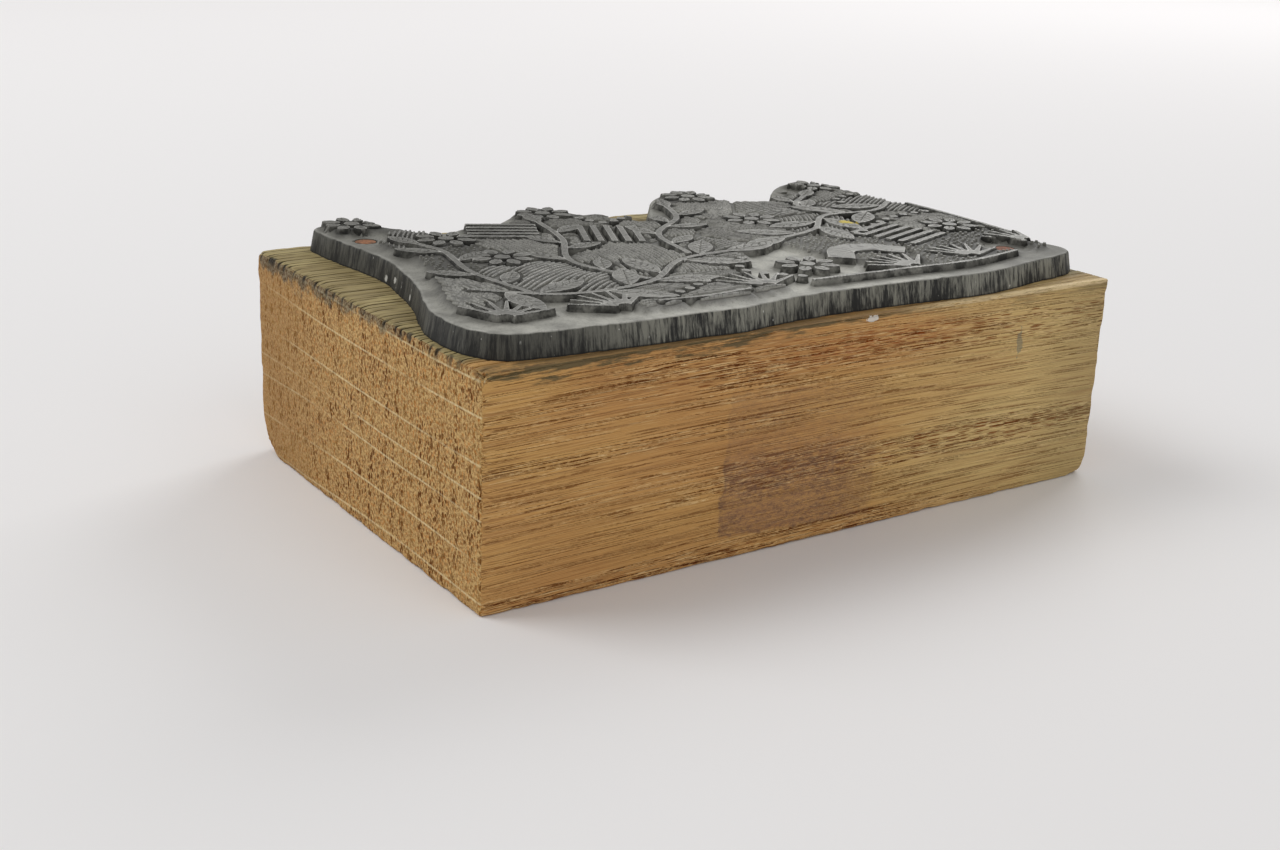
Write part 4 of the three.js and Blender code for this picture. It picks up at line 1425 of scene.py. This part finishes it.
def dotTree(sizes, material):
    tree, given = newTree("stippleDots", sizes)
    spread = made(tree, "GeometryNodeDistributePointsOnFaces", {"distribute_method": "POISSON"},
                  Mesh=given["Geometry"], DistanceMin=given["Pitch"], DensityMax=8e6, Seed=given["Seed"])
    dot = made(tree, "GeometryNodeMeshCone", {"fill_type": "NGON"}, Vertices=hatch["dotSides"],
               Depth=given["Height"], RadiusTop=given["Top Radius"], RadiusBottom=given["Base Radius"])
    least, most = hatch["dotScale"]
    size = made(tree, "FunctionNodeRandomValue", {"data_type": "FLOAT"}, 1,
                i2=least, i3=most, Seed=hatch["dotSeeds"][1])
    across = made(tree, "ShaderNodeCombineXYZ", X=size, Y=size, Z=1.0)
    placed = made(tree, "GeometryNodeInstanceOnPoints", Points=spread, Instance=dot, Scale=across)
    return closeTree(tree, placed, material)


def makeDots(inkMap, rimMap, material):
    cell = hatch["dotCell"]
    xs, ys = (np.arange(plateLow[axis], plateHigh[axis], cell) for axis in (0, 1))
    corners = np.stack(np.meshgrid(xs, ys, indexing="ij"), axis=-1).reshape(-1, 2)
    middles = corners + cell / 2
    owner, margin = patchAt(middles)
    fits = patchesWith("dots")[owner] & (margin > hatch["dotMargin"])
    fits &= openGround(middles, inkMap, rimMap, hatch["dotGap"])
    fits &= readMap(rimMap, middles) > hatch["rimGap"] + hatch["dotMargin"]
    fits &= fromNails(middles) > nails["headRadius"] + nails["clearing"] + hatch["dotFromNail"]
    level = printingLevel - hatch["rise"] - hatch["sink"]
    points, faces = [], []
    for x, y in corners[fits]:
        faces.append(range(len(points), len(points) + 4))
        points += [(x, y, level), (x + cell, y, level), (x + cell, y + cell, level), (x, y + cell, level)]
    ground = makePiece("dottedGround", points, faces, material)
    sizes = {
        "Pitch": hatch["dotPitch"] * mm,
        "Top Radius": hatch["dotRadii"][0] * mm,
        "Base Radius": hatch["dotRadii"][1] * mm,
        "Height": (printingLevel - hatch["dotDrop"] - level) * mm,
        "Seed": hatch["dotSeeds"][0],
    }
    bakeTree(ground, dotTree(sizes, material), sizes)


# Nails and the sunk pin: a profile from the tip up, turned about its own line

def turnedShape(profile, at, sides):
    points = [(*at, profile[0][1])]
    for radius, level in profile[1:-1]:
        points += [(*(at + spot), level) for spot in disc(radius, sides)]
    points.append((*at, profile[-1][1]))
    faces = [(0, 1 + (i + 1) % sides, 1 + i) for i in range(sides)]
    for row in range(len(profile) - 3):
        first = [1 + row * sides + i for i in range(sides)]
        faces += stripBetween(first, [number + sides for number in first])
    last = 1 + (len(profile) - 3) * sides
    faces += [(last + i, last + (i + 1) % sides, len(points) - 1) for i in range(sides)]
    return np.array(points), faces


def rustMaterial(name, base, dark, bright):
    material, _, place = newMaterial(name)
    crust, grain = noise(place, *nails["crust"]), noise(place, *nails["grain"])
    return finishMaterial(
        material, crust + grain, 0.8, 0.06, 0.1,
        BaseColor=coated(base, (remap(crust, 0.35, 0.65), dark), (remap(grain, 0.55, 0.75), bright)),
        Roughness=remap(crust, 0.3, 0.7, 0.7, 0.92),
    )


def addFixing(name, node, profile, at, sides, finish):
    points, faces = turnedShape(profile, at, sides)
    points[:, 2] = np.clip(points[:, 2], *(corner[2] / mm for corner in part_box(node)))
    piece = makePiece(name, points, faces, rustMaterial(finish, *nails[finish]))
    piece.data.set_sharp_from_angle(angle=math.radians(nails["sharpAngle"]))
    addToObject(piece, node)


def makeNails():
    top, under = groundLevel, groundLevel - nails["headThickness"]
    tip = under - nails["length"]
    head, shank = nails["headRadius"], nails["shankRadius"]
    profile = [
        (0, tip), (0.07, tip + 0.02), (shank, tip + nails["tipLength"]), (shank, under - 0.25),
        (shank + 0.12, under), (head - 0.04, under), (head, under + 0.05), (head, top - 0.1),
        (head - 0.05, top - 0.05), (head - 0.16, top - 0.02), (head * 0.5, top - 0.002), (0, top),
    ]
    for name, finish in (("left", "rustedHead"), ("right", "redRustedHead")):
        addFixing(name + "Nail", "plate_nail_" + name, profile,
                  onPlate(nails[name]), nails["sides"], finish)
    low, high = (corner[2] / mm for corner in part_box("plate_pin_back"))
    profile = [
        (0, low), (0.07, low + 0.02), (shank, low + nails["tipLength"]), (shank, high - 0.06),
        (shank - 0.06, high - 0.01), (0, high),
    ]
    addFixing("backPin", "plate_pin_back", profile,
              onPlate(nails["pin"]), nails["pinSides"], "darkPinAndHoleShade")
    print("nails and pin made")


makeOakBlock()
metalFinish = metalMaterial()
strokes, inkMap, rimMap = makePlate(metalFinish)
makeStrokes(strokes, metalFinish)
makeDots(inkMap, rimMap, metalFinish)
makeNails()


# Studio: pale floor, two soft boxes behind the block and one low fill, camera as in the photograph
studio = {
    "floor": srgb(239, 238, 238),
    "farFloor": srgb(246, 244, 244),
    "floorSize": 6.0,
    "farWay": (0.57, 0.82, 0.0),
    "world": 0.43,
    "worldColour": (1.0, 0.99, 0.985, 1.0),
    "boxes": [
        {"name": "leftBox", "place": (-0.6, 0.5, 0.8), "size": 0.6, "watts": 4.7},
        {"name": "rightBox", "place": (0.75, 0.45, 0.6), "size": 0.5, "watts": 3.0},
        {"name": "frontBox", "place": (0.1, -1.1, 0.8), "size": 0.9, "watts": 2.4},
    ],
}

view = {
    "place": (-93.73, -128.43, 57.97),
    "right": (0.82890068, -0.55806778, 0.03852279),
    "up": (0.1503899, 0.28864516, 0.94555108),
    "forward": (0.53880101, 0.7779745, -0.32318593),
    "lens": 46.07,
    "sensor": 36.0,
    "near": 0.005,
    "far": 20.0,
}


def makeFloor():
    # pale, with painted light making it a little paler far away
    material, tree, place = newMaterial("paleFloor")
    shader = tree.nodes["Principled BSDF"]
    away = made(tree, "ShaderNodeVectorMath", {"operation": "DOT_PRODUCT"}, "Value",
                i0=place, i1=studio["farWay"])
    paint = mixed(remap(away, -100.0, 700.0), studio["floor"], studio["farFloor"])
    join(paint, shader.inputs["Base Color"])
    join(remap(noise(place, 0.02), 0.3, 0.7, 0.9, 0.95), shader.inputs["Roughness"])
    shader.inputs["Specular IOR Level"].default_value = 0.1
    half = studio["floorSize"] / 2 / mm
    corners = [(-half, -half, 0), (half, -half, 0), (half, half, 0), (-half, half, 0)]
    floor = makePiece("floor", corners, [(0, 1, 2, 3)], material)


def makeStudio():
    makeFloor()
    world = bpy.data.worlds.new("softRoom")
    world.use_nodes = True
    background = world.node_tree.nodes["Background"]
    background.inputs["Color"].default_value = studio["worldColour"]
    background.inputs["Strength"].default_value = studio["world"]
    bpy.context.scene.world = world
    for box in studio["boxes"]:
        lamp = bpy.data.lights.new(box["name"], "AREA")
        lamp.shape = "SQUARE"
        lamp.size = box["size"]
        lamp.energy = box["watts"]
        holder = bpy.data.objects.new(box["name"], lamp)
        bpy.context.scene.collection.objects.link(holder)
        holder.location = box["place"]
        holder.rotation_euler = (-Vector(box["place"])).to_track_quat("-Z", "Y").to_euler()
    bpy.context.scene.view_settings.view_transform = "Standard"


def makeCamera():
    camera = bpy.data.cameras.new("photoView")
    camera.lens = view["lens"]
    camera.sensor_width = view["sensor"]
    camera.sensor_fit = "HORIZONTAL"
    camera.clip_start = view["near"]
    camera.clip_end = view["far"]
    holder = bpy.data.objects.new("photoView", camera)
    bpy.context.scene.collection.objects.link(holder)
    axes = Matrix((view["right"], view["up"], [-value for value in view["forward"]])).transposed()
    holder.matrix_world = Matrix.Translation(Vector(view["place"]) * mm) @ axes.to_4x4()
    bpy.context.scene.camera = holder


makeStudio()
makeCamera()
print("studio and camera made")
